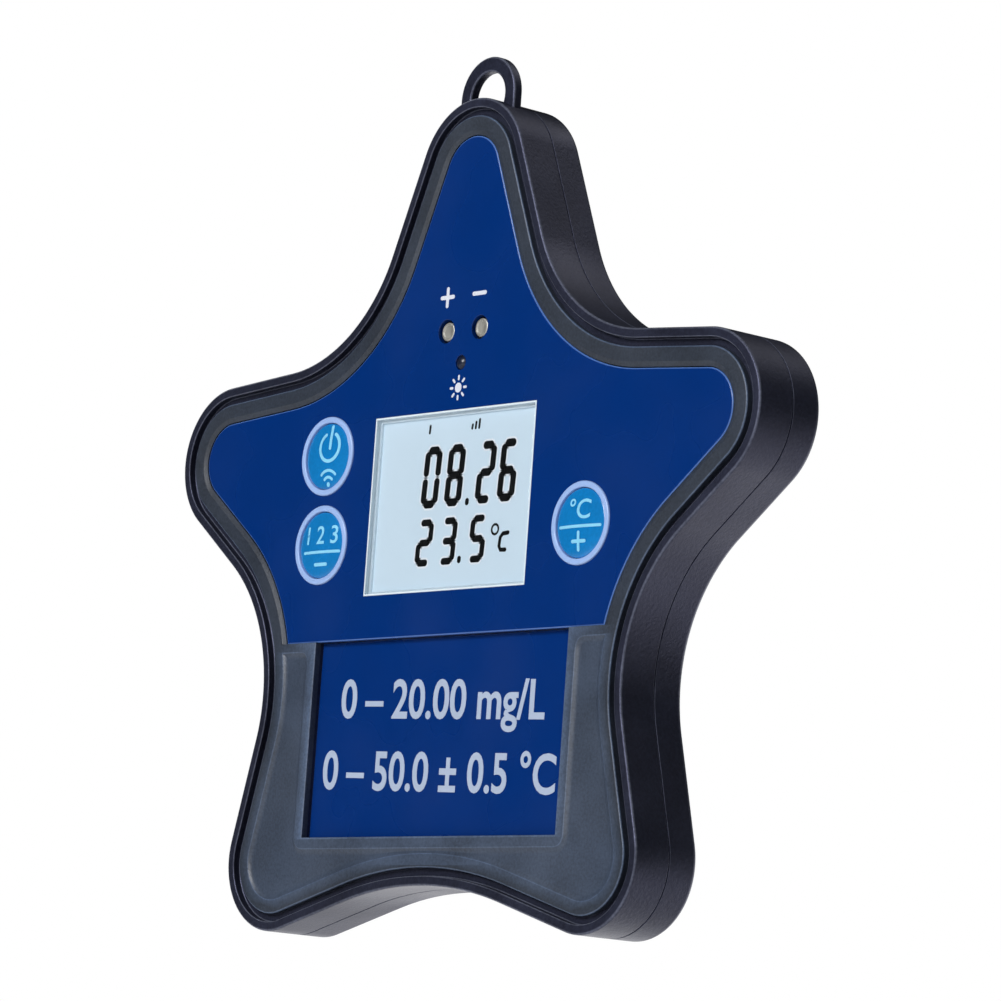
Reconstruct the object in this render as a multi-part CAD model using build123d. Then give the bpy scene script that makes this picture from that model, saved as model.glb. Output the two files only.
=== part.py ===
from build123d import *
import math
import os

# Floating dissolved oxygen meter, in millimetres. The face is drawn in X (right) and Z (up) about the
# centre of the star. Depth runs along +Y, from 0 at the front rim to the back. Everything is moved on
# export so that the origin lies at the middle of the hanging eye.

# Star outline: each round tip and each valley by its angle, its reach from the centre and its radius. The
# arch between the legs follows from them, by its rise above their lowest point and the straight run
# that joins it to each leg.
TOP_REACH = 80.0
TOP_RADIUS = 13.6
SHOULDER_ANGLE = 53.9
SHOULDER_REACH = 50.8
SHOULDER_RADIUS = 30.3
ARM_ANGLE = 18.4
ARM_REACH = 78.6
ARM_RADIUS = 13.5
WAIST_ANGLE = -16.5
WAIST_REACH = 50.3
WAIST_RADIUS = 30.4
LEG_ANGLE = -52.1
LEG_REACH = 78.6
LEG_RADIUS = 12.7
FOOT_RISE = 8.0
FOOT_RUN = 17.3

# Case
CASE_DEPTH = 14.0
SPLIT_DEPTH = 7.5
WALL = 2.6
BACK_WALL = 2.0
DECK_FRONT = 1.4
DECK_THICKNESS = 2.0
RIM_LAND = 1.7
RIM_EDGE = 0.35
BACK_EDGE = 1.2
PARTING_EDGE = 0.2

# Hanging loop on the top tip
EYE_RADIUS = 4.4
LOOP_WALL = 2.7
LOOP_THICKNESS = 1.9
LOOP_FRONT = 2.6
LOOP_EDGE = 0.35
LOOP_RISE = 0.8
LOOP_ROOT = 5.0

# Bezel: a ring in the rim's pocket that widens to a frame round the label
GROOVE_WIDTH = 1.4
BEZEL_RING = 3.4
BEZEL_BEVEL = 0.9
BEZEL_FRONT = 0.15
BEZEL_EDGE = 0.25
DISH_DEPTH = 0.4
DISH_RIM = 2.0
DISH_BORDER = 1.9
DISH_TOP = 1.5
DISH_SLOPE = 0.35

# Overlay panel and label
PANEL_FRONT = 0.48
PANEL_GAP = 0.05
PANEL_BOTTOM = -13.9
PANEL_EDGE = 0.2
LABEL_SIDE_BAND = 15.1
FOOT_BAND = 8.4
LABEL_RECESS = 1.85
LABEL_THICKNESS = 0.4

# Display
DISPLAY_X = -0.2
DISPLAY_Z = 9.5
VIEW_WIDTH = 42.2
VIEW_HEIGHT = 31.4
GASKET_THICKNESS = 0.4
GASKET_OVERLAP = 0.8
GLASS_THICKNESS = 1.6
GLASS_MARGIN = 1.8
GLASS_LEDGE = 4.0
GLASS_GAP = 0.15
BACKLIGHT_THICKNESS = 2.8
BACKLIGHT_MARGIN = 1.0
STRIP_LENGTH = 38.0
STRIP_WIDTH = 2.0

# Keys
KEY_X = 34.0
UPPER_KEY_Z = 19.4
LOWER_KEY_Z = 3.5
KEY_RING_RADIUS = 7.1
KEY_RING_WIDTH = 1.1
KEY_RING_FRONT = 0.2
KEY_RING_EDGE = 0.25
KEY_GAP = 0.1
KEY_DOME = 0.3
KEY_EDGE = 0.25
KEY_FLANGE_WIDTH = 1.0
KEY_FLANGE_THICKNESS = 0.8
KEY_STOP_GAP = 0.1
KEY_TRAVEL = 0.5
SEAL_RING_DEPTH = 0.8
PLUNGER_RADIUS = 1.7
PLUNGER_LENGTH = 0.85
PLUNGER_GAP = 0.05
SWITCH_SIZE = 5.2
SWITCH_HEIGHT = 1.1
SWITCH_CORNER = 0.5

# Charging contacts and indicator
CONTACT_X = 0.4
CONTACT_PITCH = 8.7
CONTACT_Z = 39.2
CONTACT_RADIUS = 1.65
CONTACT_FRONT = 0.9
CONTACT_HEAD = 1.0
CONTACT_STEM_RADIUS = 0.9
CONTACT_RECESS = 0.45
INDICATOR_Z = 33.4
INDICATOR_RADIUS = 1.25
INDICATOR_FRONT = 0.2
INDICATOR_FLANGE = 0.7
INDICATOR_CHIP = 1.2
INDICATOR_CHIP_WIDTH = 3.0

# Circuit board
BOARD_THICKNESS = 1.2
BOARD_MARGIN = 2.0
BOARD_CLEARANCE = 0.5
BOARD_CORNER = 1.5
TONGUE_HALF_WIDTH = 12.0
TONGUE_MARGIN = 6.0
STANDOFF_RADIUS = 2.2
STANDOFF_INSET = 3.0
BOARD_SCREW_RADIUS = 0.9
BOARD_SCREW_HEAD = 1.9
BOARD_SCREW_HEAD_HEIGHT = 1.2
BOARD_SCREW_BITE = 2.0
SCREW_GAP = 0.04
CHIP_SIZE = 10.0
CHIP_HEIGHT = 1.0
CHIP_X = -24.0
CHIP_Z = 12.0
RADIO_WIDTH = 14.0
RADIO_HEIGHT = 18.0
RADIO_BOARD = 0.8
RADIO_X = 27.0
RADIO_Z = 14.0
CAN_WIDTH = 12.0
CAN_HEIGHT = 12.0
CAN_DEPTH = 2.2
CAN_DROP = 2.0
CAN_CORNER = 0.5
SOCKET_SIZE = 10.0
SOCKET_HEIGHT = 1.0

# Battery
BATTERY_WIDTH = 54.0
BATTERY_FOOT_GAP = 7.2
BATTERY_THICKNESS = 5.2
BATTERY_TOP = -17.5
BATTERY_EDGE = 1.5
PAD_THICKNESS = 0.8
PAD_MARGIN = 4.0
CRADLE_WALL = 1.2
CRADLE_HEIGHT = 2.0
CRADLE_GAP = 0.3
RIB_THICKNESS = 1.6
RIB_PITCH = 18.0

# Case screws and seal
CASE_SCREW_RADIUS = 1.2
CASE_SCREW_HEAD = 2.3
CASE_SCREW_HEAD_HEIGHT = 1.7
CASE_SCREW_SINK = 2.4
CASE_SCREW_BITE = 3.0
CASE_SCREW_SLOT_WIDTH = 0.7
CASE_SCREW_SLOT_LENGTH = 2.4
CASE_SCREW_SLOT_DEPTH = 0.9
HEAD_GAP = 0.25
BOSS_RADIUS = 3.4
SEAL_INSET = 0.8
SEAL_WIDTH = 1.0
SEAL_DEPTH = 0.8

# Sensor on the back
SENSOR_Z = 2.0
SHANK_RADIUS = 7.0
TAIL_RADIUS = 5.0
NUT_RADIUS = 9.4
NUT_THICKNESS = 1.8
SENSOR_FLANGE_RADIUS = 9.2
SENSOR_FLANGE_THICKNESS = 1.8
ORING_RADIUS = 8.2
ORING_WIDTH = 0.9
ORING_DEPTH = 0.7
NOSE_RADIUS = 6.6
NOSE_LENGTH = 9.1
CAP_WALL = 2.4
CAP_END = 1.8
CAP_TAPER = 0.8
CAP_FLUTES = 16
CAP_FLUTE_RADIUS = 0.6
CAP_FLUTE_STOP = 6.5
WINDOW_RADIUS = 4.6
WINDOW_FLARE = 1.2
MEMBRANE_THICKNESS = 0.4
ELECTROLYTE_GAP = 0.2
CATHODE_RADIUS = 2.0
CATHODE_LENGTH = 4.2
ANODE_INNER = 3.4
ANODE_OUTER = 4.6
ANODE_LENGTH = 3.0
PROBE_OFFSET = 11.8
PROBE_RADIUS = 1.25
PROBE_REACH = 13.9
PROBE_TAIL = 0.7
PROBE_FLANGE_RADIUS = 2.2
PROBE_FLANGE_THICKNESS = 1.0
COLLAR_INNER = 13.4
COLLAR_WALL = 1.4
COLLAR_HEIGHT = 3.0
GUARD_WALL = 2.0
GUARD_GAP = 0.05
GUARD_LENGTH = 20.0
GUARD_END = 2.0
GUARD_MOUTH = 10.0
GUARD_EDGE = 1.2
GUARD_SLOTS = 8
GUARD_SLOT_WIDTH = 5.0
GUARD_SLOT_START = 5.4
GUARD_SLOT_END = 3.6

# Places that follow from the sizes above
leg_x = (LEG_REACH - LEG_RADIUS) * math.cos(math.radians(LEG_ANGLE))
leg_z = (LEG_REACH - LEG_RADIUS) * math.sin(math.radians(LEG_ANGLE))
foot_reach = LEG_RADIUS - leg_z - FOOT_RISE
foot_run_excess = leg_x**2 + (LEG_RADIUS - FOOT_RISE) ** 2 - LEG_RADIUS**2 - FOOT_RUN**2
foot_radius = foot_run_excess / (2 * FOOT_RISE)
label_height = foot_reach - FOOT_BAND + PANEL_BOTTOM
label_half_width = WAIST_REACH * math.cos(math.radians(WAIST_ANGLE)) - LABEL_SIDE_BAND
battery_height = foot_reach - BATTERY_FOOT_GAP + BATTERY_TOP
deck_back = DECK_FRONT + DECK_THICKNESS
back_floor = CASE_DEPTH - BACK_WALL
loop_z = TOP_REACH + LOOP_RISE
bezel_inset = RIM_LAND + GROOVE_WIDTH
panel_inset = bezel_inset + BEZEL_RING
label_front = BEZEL_FRONT + LABEL_RECESS
label_floor = label_front + LABEL_THICKNESS
glass_front = DECK_FRONT + GASKET_THICKNESS
glass_back = glass_front + GLASS_THICKNESS
board_front = glass_back + BACKLIGHT_THICKNESS
board_back = board_front + BOARD_THICKNESS
switch_front = board_front - SWITCH_HEIGHT
key_radius = KEY_RING_RADIUS - KEY_RING_WIDTH - KEY_GAP
key_bore = key_radius + KEY_GAP
plunger_front = board_front - KEY_TRAVEL - PLUNGER_LENGTH - PLUNGER_GAP
socket_back = board_back + SOCKET_HEIGHT
sensor_seat = CASE_DEPTH + SENSOR_FLANGE_THICKNESS
nose_end = sensor_seat + NOSE_LENGTH
membrane_front = nose_end + ELECTROLYTE_GAP
cap_floor = membrane_front + MEMBRANE_THICKNESS
cap_end = cap_floor + CAP_END
guard_end = CASE_DEPTH + GUARD_LENGTH

KEYS = {
    "power": (-KEY_X, UPPER_KEY_Z),
    "mode": (-KEY_X, LOWER_KEY_Z),
    "temperature": (KEY_X, LOWER_KEY_Z),
}


def polar(angle, distance):
    return Vector(distance, 0).rotate(Axis.Z, angle)


def star_corners():
    """Round corners clockwise from the top tip: centre, radius, and 1 for a tip or -1 for a valley."""
    tips = [
        (90, TOP_REACH, TOP_RADIUS),
        (ARM_ANGLE, ARM_REACH, ARM_RADIUS),
        (LEG_ANGLE, LEG_REACH, LEG_RADIUS),
    ]
    valleys = [
        (SHOULDER_ANGLE, SHOULDER_REACH, SHOULDER_RADIUS),
        (WAIST_ANGLE, WAIST_REACH, WAIST_RADIUS),
        (-90, foot_reach, foot_radius),
    ]
    corners = []
    for tip, valley in zip(tips, valleys):
        for side, (angle, reach, radius) in ((1, tip), (-1, valley)):
            corners.append((polar(angle, reach - side * radius), radius, side))
    mirrored = [(Vector(-centre.X, centre.Y), radius, side) for centre, radius, side in corners[1:-1]]
    return corners + mirrored[::-1]


def star(inset):
    """Face of the star outline, drawn in from the case wall by an even inset."""
    corners = [(centre, radius - side * inset, side) for centre, radius, side in star_corners()]
    sides = []
    for (here, radius, side), (there, next_radius, _) in zip(corners, corners[1:] + corners[:1]):
        run = there - here
        lean = math.degrees(math.acos((radius + next_radius) / run.length))
        normal = run.normalized().rotate(Axis.Z, side * lean)
        sides.append((here + normal * radius, there - normal * next_radius))
    edges = []
    for number, (centre, radius, _) in enumerate(corners):
        enter = sides[number - 1][1]
        leave = sides[number][0]
        middle = centre + (enter + leave - centre * 2).normalized() * radius
        edges.append(ThreePointArc(enter, middle, leave))
        edges.append(Line(*sides[number]))
    return make_face(edges)


def slab(profile, front, back):
    """Prism of a profile drawn in X and Z, from one depth to another."""
    return extrude(Plane.XZ.offset(-front) * profile, back - front, dir=(0, 1, 0))


def rod(x, z, radius, front, back):
    return slab(Pos(x, z) * Circle(radius), front, back)


def block(x, z, width, height, front, back, corner=0):
    outline = RectangleRounded(width, height, corner) if corner else Rectangle(width, height)
    return slab(Pos(x, z) * outline, front, back)


def below(level, front, back):
    """Everything of the face below a level."""
    reach = 2 * TOP_REACH
    return block(0, level - reach / 2, 2 * reach, reach, front, back)


def turned(x, z, points):
    """Solid turned about the Y axis through x, z from points of radius and depth."""
    profile = make_face(Polyline(*points, close=True))
    return Pos(x, 0, z) * revolve(profile, Axis.Y)


def edges_at(solid, depth):
    return solid.edges().filter_by_position(Axis.Y, depth, depth)


def screw_places():
    """Centres of the round tips, where the case screws sit."""
    return [centre for centre, _, side in star_corners() if side > 0]


def board_outline():
    """Board behind the display and keys, with a tongue up to the charging contacts."""
    top = UPPER_KEY_Z + KEY_RING_RADIUS + 2 * BOARD_MARGIN
    bottom = DISPLAY_Z - VIEW_HEIGHT / 2 - GLASS_LEDGE - BOARD_CLEARANCE
    half_width = KEY_X + KEY_RING_RADIUS + BOARD_MARGIN
    main = Pos(0, (top + bottom) / 2) * RectangleRounded(2 * half_width, top - bottom, BOARD_CORNER)
    tongue_top = CONTACT_Z + TONGUE_MARGIN
    tongue_base = DISPLAY_Z
    tongue = Pos(DISPLAY_X, (tongue_top + tongue_base) / 2) * RectangleRounded(
        2 * TONGUE_HALF_WIDTH, tongue_top - tongue_base, BOARD_CORNER
    )
    return (main + tongue) & star(WALL + BOARD_CLEARANCE)


def standoff_places():
    box = board_outline().bounding_box()
    top = UPPER_KEY_Z + KEY_RING_RADIUS + 2 * BOARD_MARGIN - STANDOFF_INSET
    side = box.max.X - STANDOFF_INSET
    return [(x, z) for x in (-side, side) for z in (box.min.Y + STANDOFF_INSET, top)]


def contact_places():
    return [(CONTACT_X + side * CONTACT_PITCH / 2, CONTACT_Z) for side in (-1, 1)]


def glass_block(gap, front, back):
    """Outline of the display glass, with its contact ledge below the view."""
    width = VIEW_WIDTH + 2 * GLASS_MARGIN
    height = VIEW_HEIGHT + GLASS_MARGIN + GLASS_LEDGE
    z = DISPLAY_Z + (GLASS_MARGIN - GLASS_LEDGE) / 2
    return block(DISPLAY_X, z, width + 2 * gap, height + 2 * gap, front, back)


def hanging_loop():
    """Arched loop that stands on the top tip, with its eye clear through."""
    outer = LOOP_WALL + EYE_RADIUS
    back = LOOP_FRONT + LOOP_THICKNESS
    loop = rod(0, loop_z, outer, LOOP_FRONT, back) - rod(0, loop_z, EYE_RADIUS, LOOP_FRONT, back)
    loop = chamfer(loop.edges().filter_by(GeomType.CIRCLE), LOOP_EDGE)
    root = block(0, loop_z - LOOP_ROOT / 2, 2 * outer, LOOP_ROOT, LOOP_FRONT, back)
    return loop + (root - rod(0, loop_z, outer - LOOP_EDGE, LOOP_FRONT, back))


def label_block(margin, front, back):
    width = 2 * (label_half_width + margin)
    return block(0, PANEL_BOTTOM - label_height / 2, width, label_height + 2 * margin, front, back)


def battery_block(gap, front, back, corner=0):
    z = BATTERY_TOP - battery_height / 2
    return block(0, z, BATTERY_WIDTH + 2 * gap, battery_height + 2 * gap, front, back, corner)


def front_shell():
    shell = slab(star(0), 0, SPLIT_DEPTH)
    shell -= slab(star(RIM_LAND), 0, DECK_FRONT)
    shell = chamfer(edges_at(shell, 0), RIM_EDGE)
    shell = chamfer(edges_at(shell, SPLIT_DEPTH), PARTING_EDGE)
    shell += hanging_loop()
    shell -= slab(star(WALL), deck_back, SPLIT_DEPTH)
    for centre in screw_places():
        shell += rod(centre.X, centre.Y, BOSS_RADIUS, deck_back, SPLIT_DEPTH)
        bite = SPLIT_DEPTH - CASE_SCREW_BITE
        shell -= rod(centre.X, centre.Y, CASE_SCREW_RADIUS + SCREW_GAP, bite, SPLIT_DEPTH)
    for x, z in standoff_places():
        shell += rod(x, z, STANDOFF_RADIUS, deck_back, board_front)
        bite = board_front - BOARD_SCREW_BITE
        shell -= rod(x, z, BOARD_SCREW_RADIUS + SCREW_GAP, bite, board_front)
    cradle_back = deck_back + CRADLE_HEIGHT
    cradle = battery_block(CRADLE_GAP + CRADLE_WALL, deck_back, cradle_back)
    shell += cradle - battery_block(CRADLE_GAP, deck_back, cradle_back)
    shell -= label_block(0, DECK_FRONT, label_floor)
    shell -= glass_block(GLASS_GAP, DECK_FRONT, deck_back)
    for x, z in KEYS.values():
        shell -= rod(x, z, key_bore, DECK_FRONT, deck_back)
        shell -= rod(x, z, key_bore + KEY_FLANGE_WIDTH, deck_back - SEAL_RING_DEPTH, deck_back)
    for x, z in contact_places():
        shell -= rod(x, z, CONTACT_RADIUS, DECK_FRONT, CONTACT_FRONT + CONTACT_HEAD)
        shell -= rod(x, z, CONTACT_STEM_RADIUS, DECK_FRONT, deck_back)
    return shell - rod(CONTACT_X, INDICATOR_Z, INDICATOR_RADIUS + SCREW_GAP, DECK_FRONT, deck_back)


def battery_ribs():
    """Ribs on the back wall that press the battery forward on its pad."""
    front = deck_back + PAD_THICKNESS + BATTERY_THICKNESS
    height = battery_height - 2 * PAD_MARGIN
    z = BATTERY_TOP - battery_height / 2
    return [block(side * RIB_PITCH, z, RIB_THICKNESS, height, front, back_floor) for side in (-1, 0, 1)]


def rear_shell():
    shell = slab(star(0), SPLIT_DEPTH, CASE_DEPTH)
    shell = fillet(edges_at(shell, CASE_DEPTH), BACK_EDGE)
    shell = chamfer(edges_at(shell, SPLIT_DEPTH), PARTING_EDGE)
    shell -= slab(star(WALL), SPLIT_DEPTH, back_floor)
    shell -= slab(star(SEAL_INSET) - star(SEAL_INSET + SEAL_WIDTH), SPLIT_DEPTH, SPLIT_DEPTH + SEAL_DEPTH)
    collar = rod(0, SENSOR_Z, COLLAR_INNER + COLLAR_WALL, CASE_DEPTH, CASE_DEPTH + COLLAR_HEIGHT)
    shell += collar - rod(0, SENSOR_Z, COLLAR_INNER, CASE_DEPTH, CASE_DEPTH + COLLAR_HEIGHT)
    for rib in battery_ribs():
        shell += rib
    for centre in screw_places():
        shell += rod(centre.X, centre.Y, BOSS_RADIUS, SPLIT_DEPTH, back_floor)
        shell -= rod(centre.X, centre.Y, CASE_SCREW_RADIUS + SCREW_GAP, SPLIT_DEPTH, CASE_DEPTH)
        sink = CASE_DEPTH - CASE_SCREW_SINK
        shell -= rod(centre.X, centre.Y, CASE_SCREW_HEAD + HEAD_GAP, sink, CASE_DEPTH)
    shell -= rod(0, SENSOR_Z, SHANK_RADIUS, back_floor, CASE_DEPTH)
    return shell - rod(0, SENSOR_Z - PROBE_OFFSET, PROBE_RADIUS, back_floor, CASE_DEPTH)


def case_seal():
    return slab(star(SEAL_INSET) - star(SEAL_INSET + SEAL_WIDTH), SPLIT_DEPTH, SPLIT_DEPTH + SEAL_DEPTH)


def panel_face(inset):
    """Star face above the panel's straight bottom edge."""
    return star(inset) - Pos(0, PANEL_BOTTOM - TOP_REACH) * Rectangle(4 * TOP_REACH, 2 * TOP_REACH)


def bezel_bevel():
    """Sloped cut from the ring's face down to the panel."""
    depth = PANEL_FRONT - BEZEL_FRONT
    wide = Plane.XZ.offset(-BEZEL_FRONT) * star(panel_inset - BEZEL_BEVEL)
    narrow = Plane.XZ.offset(-BEZEL_FRONT - depth) * star(panel_inset)
    cut = loft([wide, narrow], ruled=True)
    return cut - below(PANEL_BOTTOM, 0, CASE_DEPTH)


def bezel_dish():
    """Shallow dished channel round three sides of the label."""
    face = star(bezel_inset + DISH_RIM)
    face -= Pos(0, PANEL_BOTTOM - DISH_TOP + TOP_REACH) * Rectangle(4 * TOP_REACH, 2 * TOP_REACH)
    width = 2 * (label_half_width + DISH_BORDER)
    height = label_height + DISH_BORDER
    face -= Pos(0, PANEL_BOTTOM - height / 2) * Rectangle(width, height)
    dish = slab(face, BEZEL_FRONT, BEZEL_FRONT + DISH_DEPTH)
    return chamfer(edges_at(dish, BEZEL_FRONT + DISH_DEPTH), DISH_SLOPE)


def bezel():
    ring = slab(star(bezel_inset), BEZEL_FRONT, DECK_FRONT)
    ring = chamfer(edges_at(ring, BEZEL_FRONT), BEZEL_EDGE)
    ring -= slab(panel_face(panel_inset), BEZEL_FRONT, DECK_FRONT)
    ring -= label_block(0, BEZEL_FRONT, DECK_FRONT)
    return ring - bezel_bevel() - bezel_dish()


def overlay_panel():
    panel = slab(panel_face(panel_inset + PANEL_GAP), PANEL_FRONT, DECK_FRONT)
    panel = chamfer(edges_at(panel, PANEL_FRONT), PANEL_EDGE)
    panel -= block(DISPLAY_X, DISPLAY_Z, VIEW_WIDTH, VIEW_HEIGHT, PANEL_FRONT, DECK_FRONT)
    for x, z in KEYS.values():
        panel -= rod(x, z, KEY_RING_RADIUS, PANEL_FRONT, DECK_FRONT)
    for x, z in contact_places():
        panel -= rod(x, z, CONTACT_RADIUS + CONTACT_RECESS, PANEL_FRONT, DECK_FRONT)
    return panel - rod(CONTACT_X, INDICATOR_Z, INDICATOR_RADIUS + SCREW_GAP, PANEL_FRONT, DECK_FRONT)


def label_plate():
    return label_block(-PANEL_GAP, label_front, label_floor)


def display_window():
    return block(DISPLAY_X, DISPLAY_Z, VIEW_WIDTH, VIEW_HEIGHT, PANEL_FRONT, DECK_FRONT)


def display_gasket():
    opening = VIEW_HEIGHT - 2 * GASKET_OVERLAP
    width = VIEW_WIDTH - 2 * GASKET_OVERLAP
    frame = glass_block(0, DECK_FRONT, glass_front)
    return frame - block(DISPLAY_X, DISPLAY_Z, width, opening, DECK_FRONT, glass_front)


def backlight():
    width = VIEW_WIDTH + 2 * BACKLIGHT_MARGIN
    height = VIEW_HEIGHT + BACKLIGHT_MARGIN
    return block(DISPLAY_X, DISPLAY_Z + BACKLIGHT_MARGIN / 2, width, height, glass_back, board_front)


def contact_strip():
    z = DISPLAY_Z - VIEW_HEIGHT / 2 - GLASS_LEDGE + STRIP_WIDTH / 2
    return block(DISPLAY_X, z, STRIP_LENGTH, STRIP_WIDTH, glass_back, board_front)


def circuit_board():
    board = slab(board_outline(), board_front, board_back)
    for x, z in standoff_places():
        board -= rod(x, z, BOARD_SCREW_RADIUS + SCREW_GAP, board_front, board_back)
    return board


def board_screw(x, z):
    head_back = board_back + BOARD_SCREW_HEAD_HEIGHT
    tip = board_front - BOARD_SCREW_BITE + SCREW_GAP
    head = chamfer(edges_at(rod(x, z, BOARD_SCREW_HEAD, board_back, head_back), head_back), RIM_EDGE)
    return rod(x, z, BOARD_SCREW_RADIUS, tip, board_back) + head


def case_screw(x, z):
    """Cross-head screw, sunk in the back and run into the front shell's boss."""
    seat = CASE_DEPTH - CASE_SCREW_SINK
    head_back = seat + CASE_SCREW_HEAD_HEIGHT
    slot_floor = head_back - CASE_SCREW_SLOT_DEPTH
    tip = SPLIT_DEPTH - CASE_SCREW_BITE + SCREW_GAP
    head = chamfer(edges_at(rod(x, z, CASE_SCREW_HEAD, seat, head_back), head_back), RIM_EDGE)
    head -= block(x, z, CASE_SCREW_SLOT_WIDTH, CASE_SCREW_SLOT_LENGTH, slot_floor, head_back)
    head -= block(x, z, CASE_SCREW_SLOT_LENGTH, CASE_SCREW_SLOT_WIDTH, slot_floor, head_back)
    return rod(x, z, CASE_SCREW_RADIUS, tip, seat) + head


def key_ring(x, z):
    ring = rod(x, z, KEY_RING_RADIUS, KEY_RING_FRONT, DECK_FRONT)
    ring -= rod(x, z, KEY_RING_RADIUS - KEY_RING_WIDTH, KEY_RING_FRONT, DECK_FRONT)
    return chamfer(edges_at(ring, KEY_RING_FRONT), KEY_RING_EDGE)


def key_seal(x, z):
    front = deck_back - SEAL_RING_DEPTH
    return rod(x, z, key_bore + KEY_FLANGE_WIDTH, front, deck_back) - rod(x, z, key_bore, front, deck_back)


def key_cap(x, z):
    """Domed key with a flange that stops behind the deck and a stem to the switch."""
    flange_front = deck_back + KEY_STOP_GAP
    flange_back = flange_front + KEY_FLANGE_THICKNESS
    flange_radius = key_radius + KEY_FLANGE_WIDTH
    crown = key_radius - KEY_EDGE
    dome = TangentArc((0, 0), (crown, KEY_DOME), tangent=(1, 0))
    edge = Polyline(
        (crown, KEY_DOME),
        (key_radius, KEY_DOME + KEY_EDGE),
        (key_radius, flange_front),
        (flange_radius, flange_front),
        (flange_radius, flange_back),
        (PLUNGER_RADIUS, flange_back),
        (PLUNGER_RADIUS, plunger_front),
        (0, plunger_front),
        (0, 0),
    )
    profile = make_face([dome, *edge.edges()])
    return Pos(x, 0, z) * revolve(profile, Axis.Y)


def switch_plunger(x, z):
    return rod(x, z, PLUNGER_RADIUS, plunger_front, plunger_front + PLUNGER_LENGTH)


def switch_housing(x, z):
    housing = block(x, z, SWITCH_SIZE, SWITCH_SIZE, switch_front, board_front, SWITCH_CORNER)
    return housing - rod(x, z, PLUNGER_RADIUS + PLUNGER_GAP, switch_front, board_front)


def charge_contact(x, z):
    shoulder = CONTACT_FRONT + CONTACT_HEAD
    head = rod(x, z, CONTACT_RADIUS, CONTACT_FRONT, shoulder)
    head = chamfer(edges_at(head, CONTACT_FRONT), RIM_EDGE)
    return head + rod(x, z, CONTACT_STEM_RADIUS, shoulder, board_front)


def indicator_lens():
    """Light pipe with a round nose, held by a flange behind the deck."""
    chip_front = board_front - INDICATOR_CHIP
    nose = INDICATOR_FRONT + INDICATOR_RADIUS / 2
    points = [
        (INDICATOR_RADIUS, nose),
        (INDICATOR_RADIUS, deck_back),
        (INDICATOR_RADIUS + INDICATOR_FLANGE, deck_back),
        (INDICATOR_RADIUS + INDICATOR_FLANGE, chip_front),
        (0, chip_front),
        (0, INDICATOR_FRONT),
    ]
    crown = TangentArc((0, INDICATOR_FRONT), (INDICATOR_RADIUS, nose), tangent=(1, 0))
    profile = make_face([crown, *Polyline(*points).edges()])
    return Pos(CONTACT_X, 0, INDICATOR_Z) * revolve(profile, Axis.Y)


def indicator_chip():
    front = board_front - INDICATOR_CHIP
    return block(CONTACT_X, INDICATOR_Z, INDICATOR_CHIP_WIDTH, INDICATOR_CHIP_WIDTH / 2, front, board_front)


def controller_chip():
    return block(CHIP_X, CHIP_Z, CHIP_SIZE, CHIP_SIZE, board_back, board_back + CHIP_HEIGHT)


def radio_module():
    """Small board with a shield can, and a bare end for its antenna."""
    base = block(RADIO_X, RADIO_Z, RADIO_WIDTH, RADIO_HEIGHT, board_back, board_back + RADIO_BOARD)
    can_z = RADIO_Z - CAN_DROP
    can_back = board_back + CAN_DEPTH
    return base + block(RADIO_X, can_z, CAN_WIDTH, CAN_HEIGHT, board_back, can_back, CAN_CORNER)


def sensor_socket():
    return block(0, SENSOR_Z, SOCKET_SIZE, SOCKET_SIZE, board_back, socket_back, BOARD_CORNER)


def battery():
    front = deck_back + PAD_THICKNESS
    back = front + BATTERY_THICKNESS
    cell = battery_block(0, front, back, BATTERY_EDGE)
    return chamfer(edges_at(cell, front) + edges_at(cell, back), RIM_EDGE)


def battery_pad():
    return battery_block(-PAD_MARGIN, deck_back, deck_back + PAD_THICKNESS)


def sensor_body():
    """Electrode holder: socket tail, clamped shank, flange outside the back and a long nose."""
    points = [
        (0, socket_back),
        (TAIL_RADIUS, socket_back),
        (TAIL_RADIUS, back_floor - NUT_THICKNESS),
        (SHANK_RADIUS, back_floor - NUT_THICKNESS),
        (SHANK_RADIUS, CASE_DEPTH),
        (SENSOR_FLANGE_RADIUS, CASE_DEPTH),
        (SENSOR_FLANGE_RADIUS, sensor_seat),
        (NOSE_RADIUS, sensor_seat),
        (NOSE_RADIUS, nose_end),
        (0, nose_end),
    ]
    body = turned(0, SENSOR_Z, points)
    body -= sensor_seal()
    body -= rod(0, SENSOR_Z, CATHODE_RADIUS, nose_end - CATHODE_LENGTH, nose_end)
    return body - anode()


def sensor_seal():
    inner = ORING_RADIUS - ORING_WIDTH / 2
    back = CASE_DEPTH + ORING_DEPTH
    seal = rod(0, SENSOR_Z, inner + ORING_WIDTH, CASE_DEPTH, back)
    return seal - rod(0, SENSOR_Z, inner, CASE_DEPTH, back)


def sensor_nut():
    nut = slab(Pos(0, SENSOR_Z) * RegularPolygon(NUT_RADIUS, 6), back_floor - NUT_THICKNESS, back_floor)
    return nut - rod(0, SENSOR_Z, SHANK_RADIUS, back_floor - NUT_THICKNESS, back_floor)


def cathode():
    return rod(0, SENSOR_Z, CATHODE_RADIUS, nose_end - CATHODE_LENGTH, membrane_front)


def anode():
    front = nose_end - ANODE_LENGTH
    return rod(0, SENSOR_Z, ANODE_OUTER, front, nose_end) - rod(0, SENSOR_Z, ANODE_INNER, front, nose_end)


def membrane():
    return rod(0, SENSOR_Z, NOSE_RADIUS, membrane_front, cap_floor)


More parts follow.
